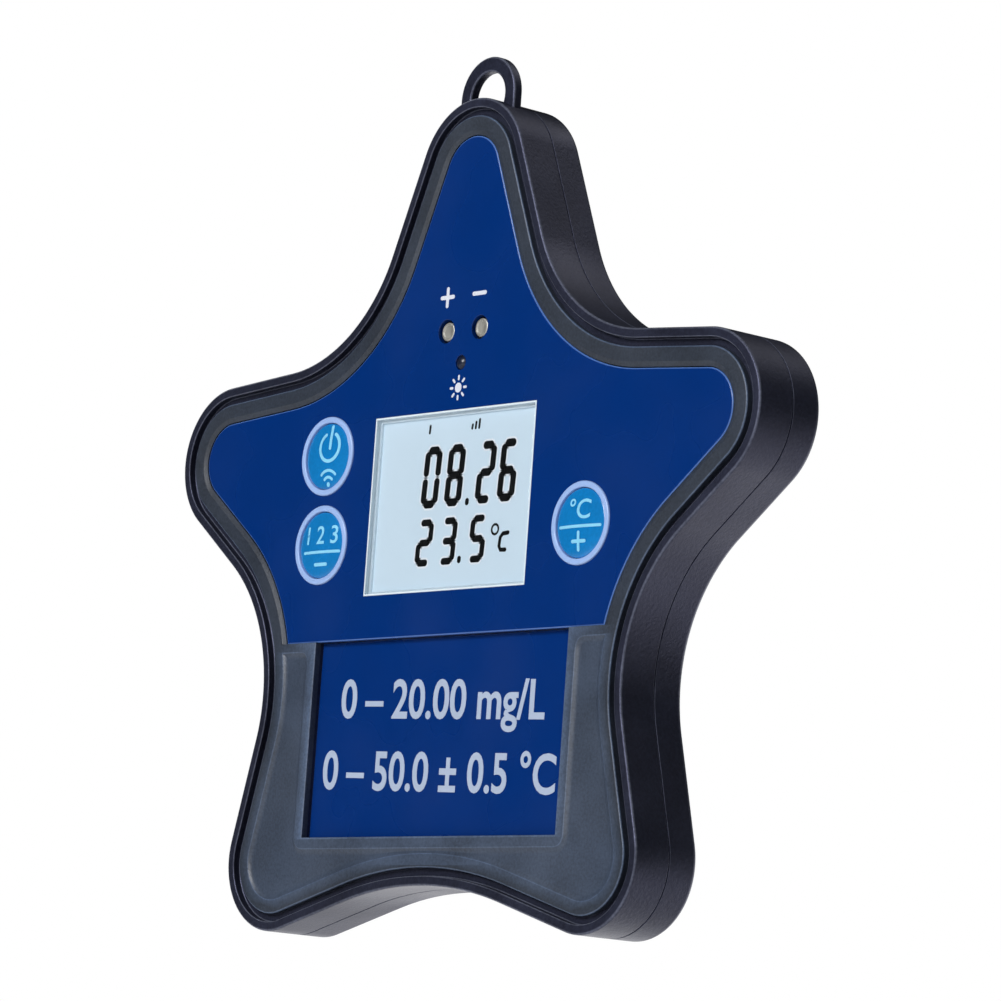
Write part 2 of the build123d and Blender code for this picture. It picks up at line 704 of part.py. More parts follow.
def membrane_cap():
    """Screw cap with grip flutes that holds the membrane over the electrodes."""
    outer = NOSE_RADIUS + CAP_WALL
    points = [
        (NOSE_RADIUS, sensor_seat),
        (outer, sensor_seat),
        (outer, cap_end - CAP_END - CAP_TAPER),
        (outer - CAP_TAPER, cap_end),
        (WINDOW_RADIUS + WINDOW_FLARE, cap_end),
        (WINDOW_RADIUS, cap_floor),
        (NOSE_RADIUS, cap_floor),
    ]
    cap = turned(0, SENSOR_Z, points)
    flute = rod(outer, 0, CAP_FLUTE_RADIUS, sensor_seat, sensor_seat + CAP_FLUTE_STOP)
    for number in range(CAP_FLUTES):
        cap -= Pos(0, 0, SENSOR_Z) * Rot(0, number * 360 / CAP_FLUTES, 0) * flute
    return cap


def temperature_probe():
    """Closed steel tube with a round end, flanged inside the back wall."""
    tip = CASE_DEPTH + PROBE_REACH
    flange_front = back_floor - PROBE_FLANGE_THICKNESS
    tail_front = flange_front - PROBE_TAIL
    start = tip - PROBE_RADIUS
    nose = TangentArc((0, tip), (PROBE_RADIUS, start), tangent=(1, 0))
    wall = Polyline(
        (PROBE_RADIUS, start),
        (PROBE_RADIUS, back_floor),
        (PROBE_FLANGE_RADIUS, back_floor),
        (PROBE_FLANGE_RADIUS, flange_front),
        (PROBE_RADIUS, flange_front),
        (PROBE_RADIUS, tail_front),
        (0, tail_front),
        (0, tip),
    )
    profile = make_face([nose, *wall.edges()])
    return Pos(0, 0, SENSOR_Z - PROBE_OFFSET) * revolve(profile, Axis.Y)


def sensor_guard():
    """Slotted cage that plugs over the collar and lets water past the membrane."""
    inner = COLLAR_INNER + COLLAR_WALL + GUARD_GAP
    outer = inner + GUARD_WALL
    points = [
        (inner, CASE_DEPTH),
        (outer, CASE_DEPTH),
        (outer, guard_end - GUARD_EDGE),
        (outer - GUARD_EDGE, guard_end),
        (GUARD_MOUTH, guard_end),
        (GUARD_MOUTH, guard_end - GUARD_END),
        (inner, guard_end - GUARD_END),
    ]
    guard = turned(0, SENSOR_Z, points)
    slot_start = CASE_DEPTH + GUARD_SLOT_START
    slot_end = guard_end - GUARD_SLOT_END
    slot_length = slot_end - slot_start
    outline = SlotOverall(slot_length, GUARD_SLOT_WIDTH, 90)
    slot = Pos(0, (slot_start + slot_end) / 2, 0) * extrude(outline, 2 * outer)
    for number in range(GUARD_SLOTS):
        guard -= Pos(0, 0, SENSOR_Z) * Rot(0, number * 360 / GUARD_SLOTS, 0) * slot
    return guard


def group(make, places):
    """Separate like pieces that share one node."""
    return [make(x, z) for x, z in places]


def parts():
    made = {
        "front_shell": front_shell(),
        "rear_shell": rear_shell(),
        "case_seal": case_seal(),
        "case_screws": group(case_screw, [(centre.X, centre.Y) for centre in screw_places()]),
        "bezel": bezel(),
        "overlay_panel": overlay_panel(),
        "label_plate": label_plate(),
        "key_rings": group(key_ring, KEYS.values()),
        "key_seals": group(key_seal, KEYS.values()),
        "display_window": display_window(),
        "display_gasket": display_gasket(),
        "display_glass": glass_block(0, glass_front, glass_back),
        "backlight": backlight(),
        "contact_strip": contact_strip(),
        "circuit_board": circuit_board(),
        "board_screws": group(board_screw, standoff_places()),
        "switch_housings": group(switch_housing, KEYS.values()),
        "controller_chip": controller_chip(),
        "radio_module": radio_module(),
        "sensor_socket": sensor_socket(),
        "charge_contacts": group(charge_contact, contact_places()),
        "indicator_lens": indicator_lens(),
        "indicator_chip": indicator_chip(),
        "battery": battery(),
        "battery_pad": battery_pad(),
        "sensor_body": sensor_body(),
        "sensor_nut": sensor_nut(),
        "sensor_seal": sensor_seal(),
        "cathode": cathode(),
        "anode": anode(),
        "membrane": membrane(),
        "membrane_cap": membrane_cap(),
        "temperature_probe": temperature_probe(),
        "sensor_guard": sensor_guard(),
    }
    for name, place in KEYS.items():
        made[name + "_key"] = key_cap(*place)
        made[name + "_plunger"] = switch_plunger(*place)
    return made


def write(node, made):
    """Writes a piece, or a group of like pieces, with the origin at the middle of the hanging eye."""
    eye_middle = Pos(0, -LOOP_FRONT - LOOP_THICKNESS / 2, -loop_z)
    solids = [eye_middle * solid for solid in (made if isinstance(made, list) else [made])]
    export_step(Compound(solids) if len(solids) > 1 else solids[0], f"parts/{node}.step")


os.makedirs("parts", exist_ok=True)
for node, made in parts().items():
    write(node, made)
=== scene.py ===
import math

import bmesh
import bpy
from bpy.props import FloatProperty, FloatVectorProperty, PointerProperty
from bpy.types import Operator, Panel, PropertyGroup
from mathutils import Matrix, Vector
from mathutils.geometry import tessellate_polygon


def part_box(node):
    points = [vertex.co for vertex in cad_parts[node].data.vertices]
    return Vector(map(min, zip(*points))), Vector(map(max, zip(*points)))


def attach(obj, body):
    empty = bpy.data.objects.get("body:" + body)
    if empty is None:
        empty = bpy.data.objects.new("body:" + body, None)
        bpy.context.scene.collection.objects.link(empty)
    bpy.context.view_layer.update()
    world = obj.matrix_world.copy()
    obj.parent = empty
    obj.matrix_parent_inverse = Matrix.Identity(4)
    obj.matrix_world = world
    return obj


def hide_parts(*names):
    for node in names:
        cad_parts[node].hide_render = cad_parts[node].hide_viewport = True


bl_info = {
    "name": "Floating water tester",
    "version": (1, 0, 0),
    "blender": (4, 5, 0),
    "location": "View3D > Sidebar > Tester",
    "description": "Dresses the packed frame of a star-shaped floating water tester",
    "category": "Object",
}

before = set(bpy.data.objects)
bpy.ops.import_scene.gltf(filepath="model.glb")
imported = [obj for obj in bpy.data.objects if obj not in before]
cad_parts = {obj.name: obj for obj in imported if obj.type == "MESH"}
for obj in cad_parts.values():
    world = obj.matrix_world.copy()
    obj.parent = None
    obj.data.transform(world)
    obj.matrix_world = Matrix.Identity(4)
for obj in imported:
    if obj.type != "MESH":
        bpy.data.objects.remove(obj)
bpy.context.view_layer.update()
MM = 0.001
WELD = 1e-7  # metres, for points that two shapes share
# The edge tone that this layer brings in is a painted highlight along roundings, crests and the label's
# border; on the bezel's dish it is also the dish's own lighter grey-blue
SHARE = "edge_share"  # layer that says how much of the edge's tone a point takes
FINISHES = {}  # materials by a short name, filled by the first step
KEY_NODES = ("power_key", "mode_key", "temperature_key")

# The star is drawn in X and Z about its own centre, and a depth is counted back from the front rim.
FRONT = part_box("front_shell")[0].y


def middle(name):
    """Middle of a CAD node."""
    low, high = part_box(name)
    return (low + high) / 2


def mm(lengths):
    """Lengths in metres from lengths in millimetres."""
    return [length * MM for length in lengths]


def size(name, default, description):
    """A length in metres, given here in millimetres."""
    return FloatProperty(
        name=name, description=description, default=default * MM, unit="LENGTH", precision=5
    )


def turn(name, default, description):
    """An angle, given here in degrees."""
    return FloatProperty(
        name=name, description=description, default=math.radians(default), unit="ROTATION"
    )


def linear(code):
    """Linear colour of an sRGB hex code."""
    channels = [int(code[i : i + 2], 16) / 255 for i in (1, 3, 5)]
    return [c / 12.92 if c <= 0.04045 else ((c + 0.055) / 1.055) ** 2.4 for c in channels]


def colour(name, code, description):
    """A colour property, given here as an sRGB hex code."""
    return FloatVectorProperty(
        name=name, description=description, default=linear(code), subtype="COLOR", size=3, min=0, max=1
    )


class TesterOutline(PropertyGroup):
    """Round corners of the star, each by its angle, its reach from the centre and its radius."""

    top_reach: size("Top reach", 80.0, "Top tip, from the star's centre")
    top_radius: size("Top radius", 13.6, "Rounding of the top tip")
    shoulder_angle: turn("Shoulder angle", 53.9, "Direction of the valley beside the top tip")
    shoulder_reach: size("Shoulder reach", 50.8, "Valley beside the top tip, from the centre")
    shoulder_radius: size("Shoulder radius", 30.3, "Rounding of the valley beside the top tip")
    arm_angle: turn("Arm angle", 18.4, "Direction of the arm's tip")
    arm_reach: size("Arm reach", 78.6, "Arm's tip, from the centre")
    arm_radius: size("Arm radius", 13.5, "Rounding of the arm's tip")
    waist_angle: turn("Waist angle", -16.5, "Direction of the valley under the arm")
    waist_reach: size("Waist reach", 50.3, "Valley under the arm, from the centre")
    waist_radius: size("Waist radius", 30.4, "Rounding of the valley under the arm")
    leg_angle: turn("Leg angle", -52.1, "Direction of the leg's tip")
    leg_reach: size("Leg reach", 78.6, "Leg's tip, from the centre")
    leg_radius: size("Leg radius", 12.7, "Rounding of the leg's tip")
    foot_rise: size("Foot rise", 8.0, "Height of the arch between the legs")
    foot_run: size("Foot run", 17.3, "Straight run between a leg and the arch")
    centre_z: size("Centre height", -80.8, "Star's centre from the middle of the hanging eye")


class TesterCase(PropertyGroup):
    """Sizes of the case and its hanging loop."""

    wall: size("Wall", 2.6, "Thickness of the case's wall")
    split: size("Split", 7.5, "Depth of the parting line between the halves")
    depth: size("Depth", 14.0, "Depth of the case")
    parting: size("Parting groove", 0.2, "Reach of the groove at the parting line")
    seam: size("Seam", 0.03, "Half width of the gap in that groove")
    seam_edge: size("Seam edge", 0.12, "Rounding of the groove's lips")
    rim_land: size("Rim land", 1.7, "Width of the flat rim round the face")
    rim_edge: size("Rim edge", 0.42, "Rounding of the rim's outer edge")
    inner_edge: size("Inner edge", 0.2, "Rounding of the rim's inner edge")
    back_edge: size("Back edge", 1.2, "Rounding of the back's edge")
    back_wall: size("Back wall", 2.0, "Thickness of the back")
    back_land: size("Back land", 4.0, "Width of the even border on the back")
    deck: size("Deck", 1.4, "Depth of the deck that the face lies on")
    deck_wall: size("Deck wall", 2.0, "Thickness of the deck")
    pocket_floor: size("Pocket floor", 0.4, "Depth of the label's pocket behind the label's face")
    groove: size("Groove", 1.4, "Width of the dark groove between rim and bezel")
    ledge: size("Ledge", 1.0, "Width of the deck's even border past that groove")
    eye: size("Eye", 4.4, "Radius of the hanging eye")
    loop_wall: size("Loop wall", 2.7, "Width of the loop's bar")
    loop_front: size("Loop front", 2.6, "Depth of the loop's front face")
    loop_back: size("Loop back", 4.5, "Depth of the loop's back face")
    loop_edge: size("Loop edge", 0.4, "Rounding of the loop's edges")
    loop_root: size("Loop root", 5.0, "Length of the loop's legs below the eye's middle")
    seat_radius: size("Screw seat", 2.55, "Radius of a sunk seat for a case screw")
    seat_depth: size("Screw seat depth", 2.4, "Depth of a case screw's seat")
    collar_inner: size("Collar radius", 13.4, "Inner radius of the collar for the guard")
    collar_wall: size("Collar wall", 1.4, "Thickness of that collar")
    collar_height: size("Collar height", 3.0, "Height of that collar off the back")


class TesterFace(PropertyGroup):
    """Sizes of the bezel, the panel and the label."""

    bezel_ring: size("Bezel ring", 3.4, "Width of the bezel round the panel")
    bezel_bevel: size("Bezel bevel", 0.9, "Width of the slope down to the panel")
    bezel_front: size("Bezel front", 0.15, "Depth of the bezel's face")
    bezel_edge: size("Bezel edge", 0.3, "Rounding of the bezel's outer edge")
    dish_rim: size("Dish rim", 2.3, "Bezel's edge to the dish")
    dish_border: size("Dish border", 1.9, "Flat border round the label")
    dish_top: size("Dish top", 1.5, "Bar between the panel and the dish")
    dish_depth: size("Dish depth", 0.42, "Depth of the dish")
    dish_slope: size("Dish slope", 1.3, "Width of the dish's soft edge")
    dish_corner: size("Dish corner", 2.2, "Rounding of the dish's corners")
    dish_share: FloatProperty(
        name="Dish tone", description="Tone of the dish, from the bezel's to its edge's", default=0.3
    )
    panel_front: size("Panel front", 0.48, "Depth of the panel's face")
    panel_bottom: size("Panel bottom", -13.9, "Panel's straight lower edge, from the star's centre")
    panel_edge: size("Panel edge", 0.28, "Rounding of the panel's edge")
    label_front: size("Label front", 2.0, "Depth of the label")
    label_corner: size("Label corner", 0.4, "Rounding of the label's corners")
    border_edge: size("Border edge", 0.3, "Width of the rounding from the border down to the label")
    liner: size("Liner", 0.3, "Width of the white liner round the window")
    panel_gap: size("Panel gap", 0.14, "Gap round the panel")
    gap: size("Gap", 0.05, "Gap round a fitted piece")


class TesterKeys(PropertyGroup):
    """Sizes of the keys and their rings."""

    ring_radius: size("Ring radius", 7.1, "Outer radius of a key ring")
    ring_width: size("Ring width", 1.1, "Width of a key ring")
    ring_front: size("Ring front", 0.2, "Depth of a key ring's face")
    ring_inner_edge: size("Ring inner edge", 0.22, "Rounding of a key ring's inner edge")
    ring_outer_edge: size("Ring outer edge", 0.3, "Rounding of a key ring's outer edge")
    key_gap: size("Key gap", 0.1, "Gap round a key")
    key_edge: size("Key edge", 0.3, "Width of the rounded edge round a key's dome")
    key_drop: size("Key drop", 0.08, "Fall of the dome over that edge")
    shoulder_edge: size("Shoulder edge", 0.25, "Rounding of the key's shoulder")
    dome: size("Dome", 0.5, "Rise of a key's dome")
    flange_front: size("Flange front", 3.5, "Depth of the front of a key's flange")
    flange_back: size("Flange back", 4.3, "Depth of the back of a key's flange")
    stem_radius: size("Stem radius", 1.7, "Radius of a key's stem")
    indicator_hole: size("Indicator hole", 1.29, "Radius of the hole over the indicator")
    contact_recess: size("Contact recess", 0.45, "Dark gap round a charging contact")
    contact_step: size("Contact step", 0.14, "Depth of a contact's disc below its rim")
    contact_head: size("Contact head", 1.0, "Thickness of a contact's head")
    contact_pin: size("Contact pin", 0.9, "Radius of a contact's pin")


class TesterColours(PropertyGroup):
    """Colours of the plastics and prints, and the lighter edge tones that paint highlights along rounded
    edges.
    """

    case: colour("Case", "#20232f", "Moulded plastic of the case")
    # Painted highlight: a lighter tone that the case takes along its rounded edges, the lips of its
    # parting groove and the hanging loop's edges
    case_edge_highlight: colour("Case edge", "#595d6b", "Moulded plastic along the edges of the case")
    bezel: colour("Bezel", "#323945", "Moulded plastic of the bezel's ring")
    # The dish's own lighter grey-blue, also used as a painted highlight along the bezel's rounded outer
    # edge, the dish's crest and the border round the label
    dish: colour("Dish", "#54647e", "Tone of the bezel round the label and along its edges")
    panel: colour("Panel", "#003078", "Printed panel and label")
    # Painted highlight: a lighter blue along the rounded edges of the panel and the label
    panel_edge: colour("Panel edge", "#5c84cc", "Cut edge of the printed panel")
    key_ring: colour("Key ring", "#a4c2f6", "Rings round the keys")
    key: colour("Key", "#0f80c8", "Domed keys")
    mark: colour("Mark", "#e4e8f4", "Printed marks on the panel")
    label_mark: colour("Label mark", "#b4c2da", "Printed figures on the label")
    key_mark: colour("Key mark", "#90dcff", "Printed marks on the keys")
    display: colour("Display", "#c4d5e0", "Lit ground of the display")
    figure: colour("Figure", "#050607", "Figures on the display")
    backdrop: colour("Backdrop", "#ffffff", "Background")
    ambient: colour("Ambient", "#e6eefc", "Plain light from all sides")
    floor: colour("Floor", "#f4f4f4", "Floor under the tester")


class TesterStage(PropertyGroup):
    """Camera, lights and floor."""

    camera: FloatVectorProperty(
        name="Camera",
        description="Place of the camera",
        default=(0.59661, -0.50797, -0.18333),
        subtype="TRANSLATION",
    )
    direction: FloatVectorProperty(
        name="Direction",
        description="Direction in which the camera looks",
        default=(-0.74832, 0.64785, 0.14251),
        subtype="DIRECTION",
    )
    upward: FloatVectorProperty(
        name="Upward",
        description="Direction that is up in the picture",
        default=(0.06171, -0.14592, 0.98737),
        subtype="DIRECTION",
    )
    focal_length: FloatProperty(
        name="Focal length", description="Lens in millimetres on a 36 mm sensor", default=165.78
    )
    floor_z: size("Floor height", -300.0, "Floor below the hanging tester")
    floor_reach: size("Floor reach", 6000.0, "Floor's middle to its sides")
    floor_glow: FloatProperty(name="Floor glow", description="Floor's light to the camera", default=0.76)
    ambient: FloatProperty(name="Ambient", description="Strength of the plain light", default=0.018)


# Rails: closed lines of points in X and Z, anticlockwise seen from the front

ROUND, PIN_ROUND, SMALL_ROUND = 96, 64, 48  # points round circles of three sizes
BLUNT = math.radians(20)  # bend under which a corner needs no rounding
MOST_CUT = 0.45  # of a side, which the rounding of its corner may take
ROUND_END = (0.25, 0.75, 1.2)  # angles of the points on the round end of a stroke


def polar(angle, distance):
    """A step of some length in a direction."""
    return Vector((math.cos(angle), math.sin(angle))) * distance


def star_corners(outline):
    """Round corners from the top tip: centre, radius, and 1 for a tip or -1 for a valley."""
    leg = polar(outline.leg_angle, outline.leg_reach - outline.leg_radius)
    foot_reach = outline.leg_radius - leg.y - outline.foot_rise
    excess = leg.x**2 + (outline.leg_radius - outline.foot_rise) ** 2
    foot_radius = (excess - outline.leg_radius**2 - outline.foot_run**2) / (2 * outline.foot_rise)
    half = [
        (math.pi / 2, outline.top_reach, outline.top_radius, 1),
        (outline.shoulder_angle, outline.shoulder_reach, outline.shoulder_radius, -1),
        (outline.arm_angle, outline.arm_reach, outline.arm_radius, 1),
        (outline.waist_angle, outline.waist_reach, outline.waist_radius, -1),
        (outline.leg_angle, outline.leg_reach, outline.leg_radius, 1),
        (-math.pi / 2, foot_reach, foot_radius, -1),
    ]
    corners = [(polar(angle, reach - side * radius), radius, side) for angle, reach, radius, side in half]
    mirrored = [(Vector((-centre.x, centre.y)), radius, side) for centre, radius, side in corners[1:-1]]
    return corners + mirrored[::-1]


def star_rail(inset=0.0, step=0.6 * MM):
    """The star's outline, drawn in by an even inset, with the same number of points for every inset."""
    corners = star_corners(bpy.context.scene.tester_outline)
    sides = []
    for (here, radius, side), (there, next_radius, _) in zip(corners, corners[1:] + corners[:1]):
        run = there - here
        lean = math.acos((radius + next_radius) / run.length)
        sides.append(math.atan2(run.y, run.x) + side * lean)
    points = []
    for number, (centre, radius, side) in enumerate(corners):
        enter = sides[number - 1] + math.pi
        leave = sides[number]
        sweep = (leave - enter + math.pi) % (2 * math.pi) - math.pi
        count = max(2, math.ceil(abs(sweep) * radius / step))
        reach = radius - side * inset
        points += [centre + polar(enter + sweep * i / count, reach) for i in range(count + 1)]
    return points[::-1]


def circle_rail(x, z, radius, count=ROUND):
    """A circle about a point."""
    return [Vector((x, z)) + polar(2 * math.pi * i / count, radius) for i in range(count)]


def box_rail(left, bottom, right, top):
    """A rectangle from its lower left corner."""
    return [Vector(corner) for corner in ((left, bottom), (right, bottom), (right, top), (left, top))]


def softened(rail, radius, steps=6):
    """A rail with its corners rounded, but for those too blunt to need it."""
    soft = []
    for number, here in enumerate(rail):
        back = rail[number - 1] - here
        ahead = rail[(number + 1) % len(rail)] - here
        bend = math.pi - back.angle(ahead)
        if bend < BLUNT:
            soft.append(here)
            continue
        cut = min(radius * math.tan(bend / 2), back.length * MOST_CUT, ahead.length * MOST_CUT)
        start = here + back.normalized() * cut
        end = here + ahead.normalized() * cut
        for i in range(steps + 1):
            t = i / steps
            soft.append(start * (1 - t) ** 2 + here * (2 * t * (1 - t)) + end * t**2)
    return soft


def mitres(rail):
    """For each point the step that moves both lines that meet there inwards by one."""
    steps = []
    for number, here in enumerate(rail):
        before = (here - rail[number - 1]).normalized()
        after = (rail[(number + 1) % len(rail)] - here).normalized()
        inward_before = Vector((-before.y, before.x))
        inward_after = Vector((-after.y, after.x))
        steps.append((inward_before + inward_after) / (1 + inward_before.dot(inward_after)))
    return steps


def cut_star(inset, level, above, keep_inset):
    """The part of a star outline on one side of a level, with ends on that level.

    Outlines of different insets keep the same points, those that lie past the level at keep_inset."""
    rail = star_rail(inset)
    least = 0.3 * MM  # from a kept point to the level, so that no sliver is left there
    kept = [
        above == (point.y > level) and abs(point.y - level) > least for point in star_rail(keep_inset)
    ]
    count = len(rail)
    start = next(i for i in range(count) if kept[i] and not kept[i - 1])
    run = []
    while kept[(start + len(run)) % count]:
        run.append(rail[(start + len(run)) % count])
    ends = []
    for near, step in ((start, -1), (start + len(run) - 1, 1)):
        here = rail[near % count]
        there = rail[(near + step) % count]
        reach = 1
        while (there.y - level) * (here.y - level) > 0:
            reach += 1
            here, there = there, rail[(near + step * reach) % count]
        ends.append(here + (there - here) * ((level - here.y) / (there.y - here.y)))
    return [ends[0], *run, ends[1]]


# Profiles: lines of inset and depth that are carried round a rail

LAND = 1.5  # times an edge's rounding, from the edge to the first ring of its flat face


def rounded(profile, steps=5):
    """A profile of (inset, depth, rounding) with its corners rounded, as (inset, depth, share of edge).
    That share rises to 1 at the middle of each rounding, where it paints a highlight in the finishes that
    have an edge tone.
    """
    points = [Vector(corner[:2]) for corner in profile]
    line = []
    for number, (here, corner) in enumerate(zip(points, profile)):
        radius = corner[2] if len(corner) > 2 else 0
        if not radius:
            line.append((*here, 0.0))
            continue
        back = (points[number - 1] - here).normalized()
        ahead = (points[number + 1] - here).normalized()
        cut = radius / math.tan(back.angle(ahead) / 2)
        start, end = here + back * cut, here + ahead * cut
        centre = here + (back + ahead).normalized() * math.hypot(radius, cut)
        for i in range(steps + 1):
            point = centre + (start - centre).slerp(end - centre, i / steps) * radius
            line.append((*point, math.sin(math.pi * i / steps)))
    return line


class Skin:
    """A mesh under construction, in the frame's axes."""

    def __init__(self):
        self.mesh = bmesh.new()
        self.share = self.mesh.verts.layers.float.new(SHARE)

    def place(self, point, depth):
        """A point about the star's centre, at a depth."""
        centre_z = bpy.context.scene.tester_outline.centre_z
        return Vector((point.x, depth + FRONT, point.y + centre_z))

    def ring(self, rail, depth, share=0.0):
        """New points along a rail, at a depth."""
        made = [self.mesh.verts.new(self.place(point, depth)) for point in rail]
        for vert in made:
            vert[self.share] = share
        return made

    def bridge(self, ring, other):
        """Faces between two rings of as many points."""
        for i in range(len(ring)):
            j = (i + 1) % len(ring)
            self.mesh.faces.new((ring[i], ring[j], other[j], other[i]))

    def carry(self, rail, profile):
        """Carries a profile round a rail, and returns its first and last ring."""
        steps = mitres(rail)
        rings = []
        for inset, depth, *share in profile:
            rings.append(self.ring([p + s * inset for p, s in zip(rail, steps)], depth, *share))
        for ring, other in zip(rings, rings[1:]):
            self.bridge(ring, other)
        return rings[0], rings[-1]

    def fill(self, *rings):
        """Flat face inside the first ring, with the others as holes."""
        verts = [vert for ring in rings for vert in ring]
        lines = [[Vector((vert.co.x, vert.co.z, 0)) for vert in ring] for ring in rings]
        for corners in tessellate_polygon(lines):
            face = [verts[i] for i in corners]
            if len(set(face)) == 3 and self.mesh.faces.get(face) is None:
                self.mesh.faces.new(face)

    def spin(self, x, z, profile, count=ROUND):
        """Turns a profile of (radius, depth) about the depth axis. A radius of 0 closes it."""
        rings = []
        for radius, depth, *share in profile:
            if radius > 0:
                rings.append(self.ring(circle_rail(x, z, radius, count), depth, *share))
            else:
                rings.append([self.mesh.verts.new(self.place(Vector((x, z)), depth))] * count)
        for ring, other in zip(rings, rings[1:]):
            for i in range(count):
                j = (i + 1) % count
                corners = dict.fromkeys((ring[i], ring[j], other[j], other[i]))
                if len(corners) > 2:
                    self.mesh.faces.new(tuple(corners))

    def ribbon(self, line, width, surface, rise=0.05):
        """A raised stroke with round ends, in millimetres, which follows the surface under it."""
        line = [Vector(point) * MM for point in line]
        width, rise = mm((width, rise))
        first = (line[0] - line[1]).normalized()
        last = (line[-1] - line[-2]).normalized()
        ends = [polar(angle, width / 2) for angle in ROUND_END]
        # Each point of the stroke with its half width
        halves = [(line[0] + first * out, half) for out, half in ends]
        halves += [(point, width / 2) for point in line]
        halves += [(line[-1] + last * out, half) for out, half in reversed(ends)]
        left, right = [], []
        for number, (point, half) in enumerate(halves):
            before = halves[max(number - 1, 0)][0]
            after = halves[min(number + 1, len(halves) - 1)][0]
            along = (after - before).normalized()
            across = Vector((-along.y, along.x)) * half
            left.append(point + across)
            right.append(point - across)
        outline = left + right[::-1]
        top = [self.mesh.verts.new(self.place(point, surface(point) - rise)) for point in outline]
        foot = [self.mesh.verts.new(self.place(point, surface(point) + rise / 2)) for point in outline]
        self.bridge(top, foot)
        for ring in (top, foot):
            for i in range(len(left) - 1):
                self.mesh.faces.new((ring[i], ring[i + 1], ring[-2 - i], ring[-1 - i]))

    def add(self, mesh):
        """Takes in a finished mesh."""
        self.mesh.from_mesh(mesh)
        bpy.data.meshes.remove(mesh)

    def finish(self, name, finish, body, nodes=(), material_slot=None, sharp=32):
        """Makes the object: smooth but for its sharp edges, with flat faces kept flat."""
        bmesh.ops.remove_doubles(self.mesh, verts=self.mesh.verts, dist=WELD)
        bmesh.ops.recalc_face_normals(self.mesh, faces=self.mesh.faces)
        data = bpy.data.meshes.new(name)
        self.mesh.to_mesh(data)
        self.mesh.free()
        data.materials.append(FINISHES[finish])
        data.shade_smooth()
        data.set_sharp_from_angle(angle=math.radians(sharp))
        piece = bpy.data.objects.new(name, data)
        bpy.context.scene.collection.objects.link(piece)
        keep_flat(piece)
        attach(piece, body)
        if nodes:
            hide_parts(*nodes)


def keep_flat(piece):
    """Keeps the shading of flat faces flat beside their roundings."""
    flat = piece.modifiers.new("Flat faces", "WEIGHTED_NORMAL")
    flat.keep_sharp = True


# Materials

WHITE = linear("#ffffff")
GLOSS_PATCH, TONE_PATCH, WEAR_PATCH = 22, 9, 1.5  # millimetres over which gloss, tone and wear drift
GLOSS_DRIFT, WEAR_DRIFT = 0.07, 0.06  # roughness to each side, on a moulding and on a metal


def node(tree, kind, links=None, settings=None, **values):
    """Adds a node: settings are its own, values its sockets, links sockets fed by other sockets."""
    made = tree.nodes.new(kind)
    for name, value in (settings or {}).items():
        setattr(made, name, value)
    for name, value in values.items():
        made.inputs[name.replace("_", " ")].default_value = value
    for name, source in (links or {}).items():
        tree.links.new(source, made.inputs[name])
    return made


def new_material(name):
    """An empty material and its node tree."""
    made = bpy.data.materials.new(name)
    made.use_nodes = True
    made.node_tree.nodes.clear()
    return made, made.node_tree


def opaque(rgb):
    """A colour with its alpha."""
    return (*rgb, 1)


def grain(tree, grain_mm, height_mm, strength=1.0):
    """Bump of a surface texture, with cells of a real size: its place, its bump and its cells."""
    place = node(tree, "ShaderNodeTexCoord").outputs["Object"]
    cells = node(
        tree,
        "ShaderNodeTexNoise",
        {"Vector": place},
        Scale=1 / (grain_mm * MM),
        Detail=3.0,
        Roughness=0.6,
    ).outputs["Fac"]
    bump = node(
        tree, "ShaderNodeBump", {"Height": cells}, Strength=strength, Distance=height_mm * MM
    )
    return place, bump.outputs["Normal"], cells


def patches(tree, place, scale_mm, low, high, detail=2.0):
    """Slow variation over the surface between two values."""
    cloud = node(
        tree, "ShaderNodeTexNoise", {"Vector": place}, Scale=1 / (scale_mm * MM), Detail=detail
    )
    value = {"Value": cloud.outputs["Fac"]}
    spread = {"From_Min": 0.3, "From_Max": 0.7, "To_Min": low, "To_Max": high}
    return node(tree, "ShaderNodeMapRange", value, **spread).outputs["Result"]


def shades(rgb, low, high):
    """A darker and a lighter shade of a colour, as the ends of a mix."""
    dark, light = ([min(1.0, channel * level) for channel in rgb] for level in (low, high))
    return {"Color1": opaque(dark), "Color2": opaque(light)}


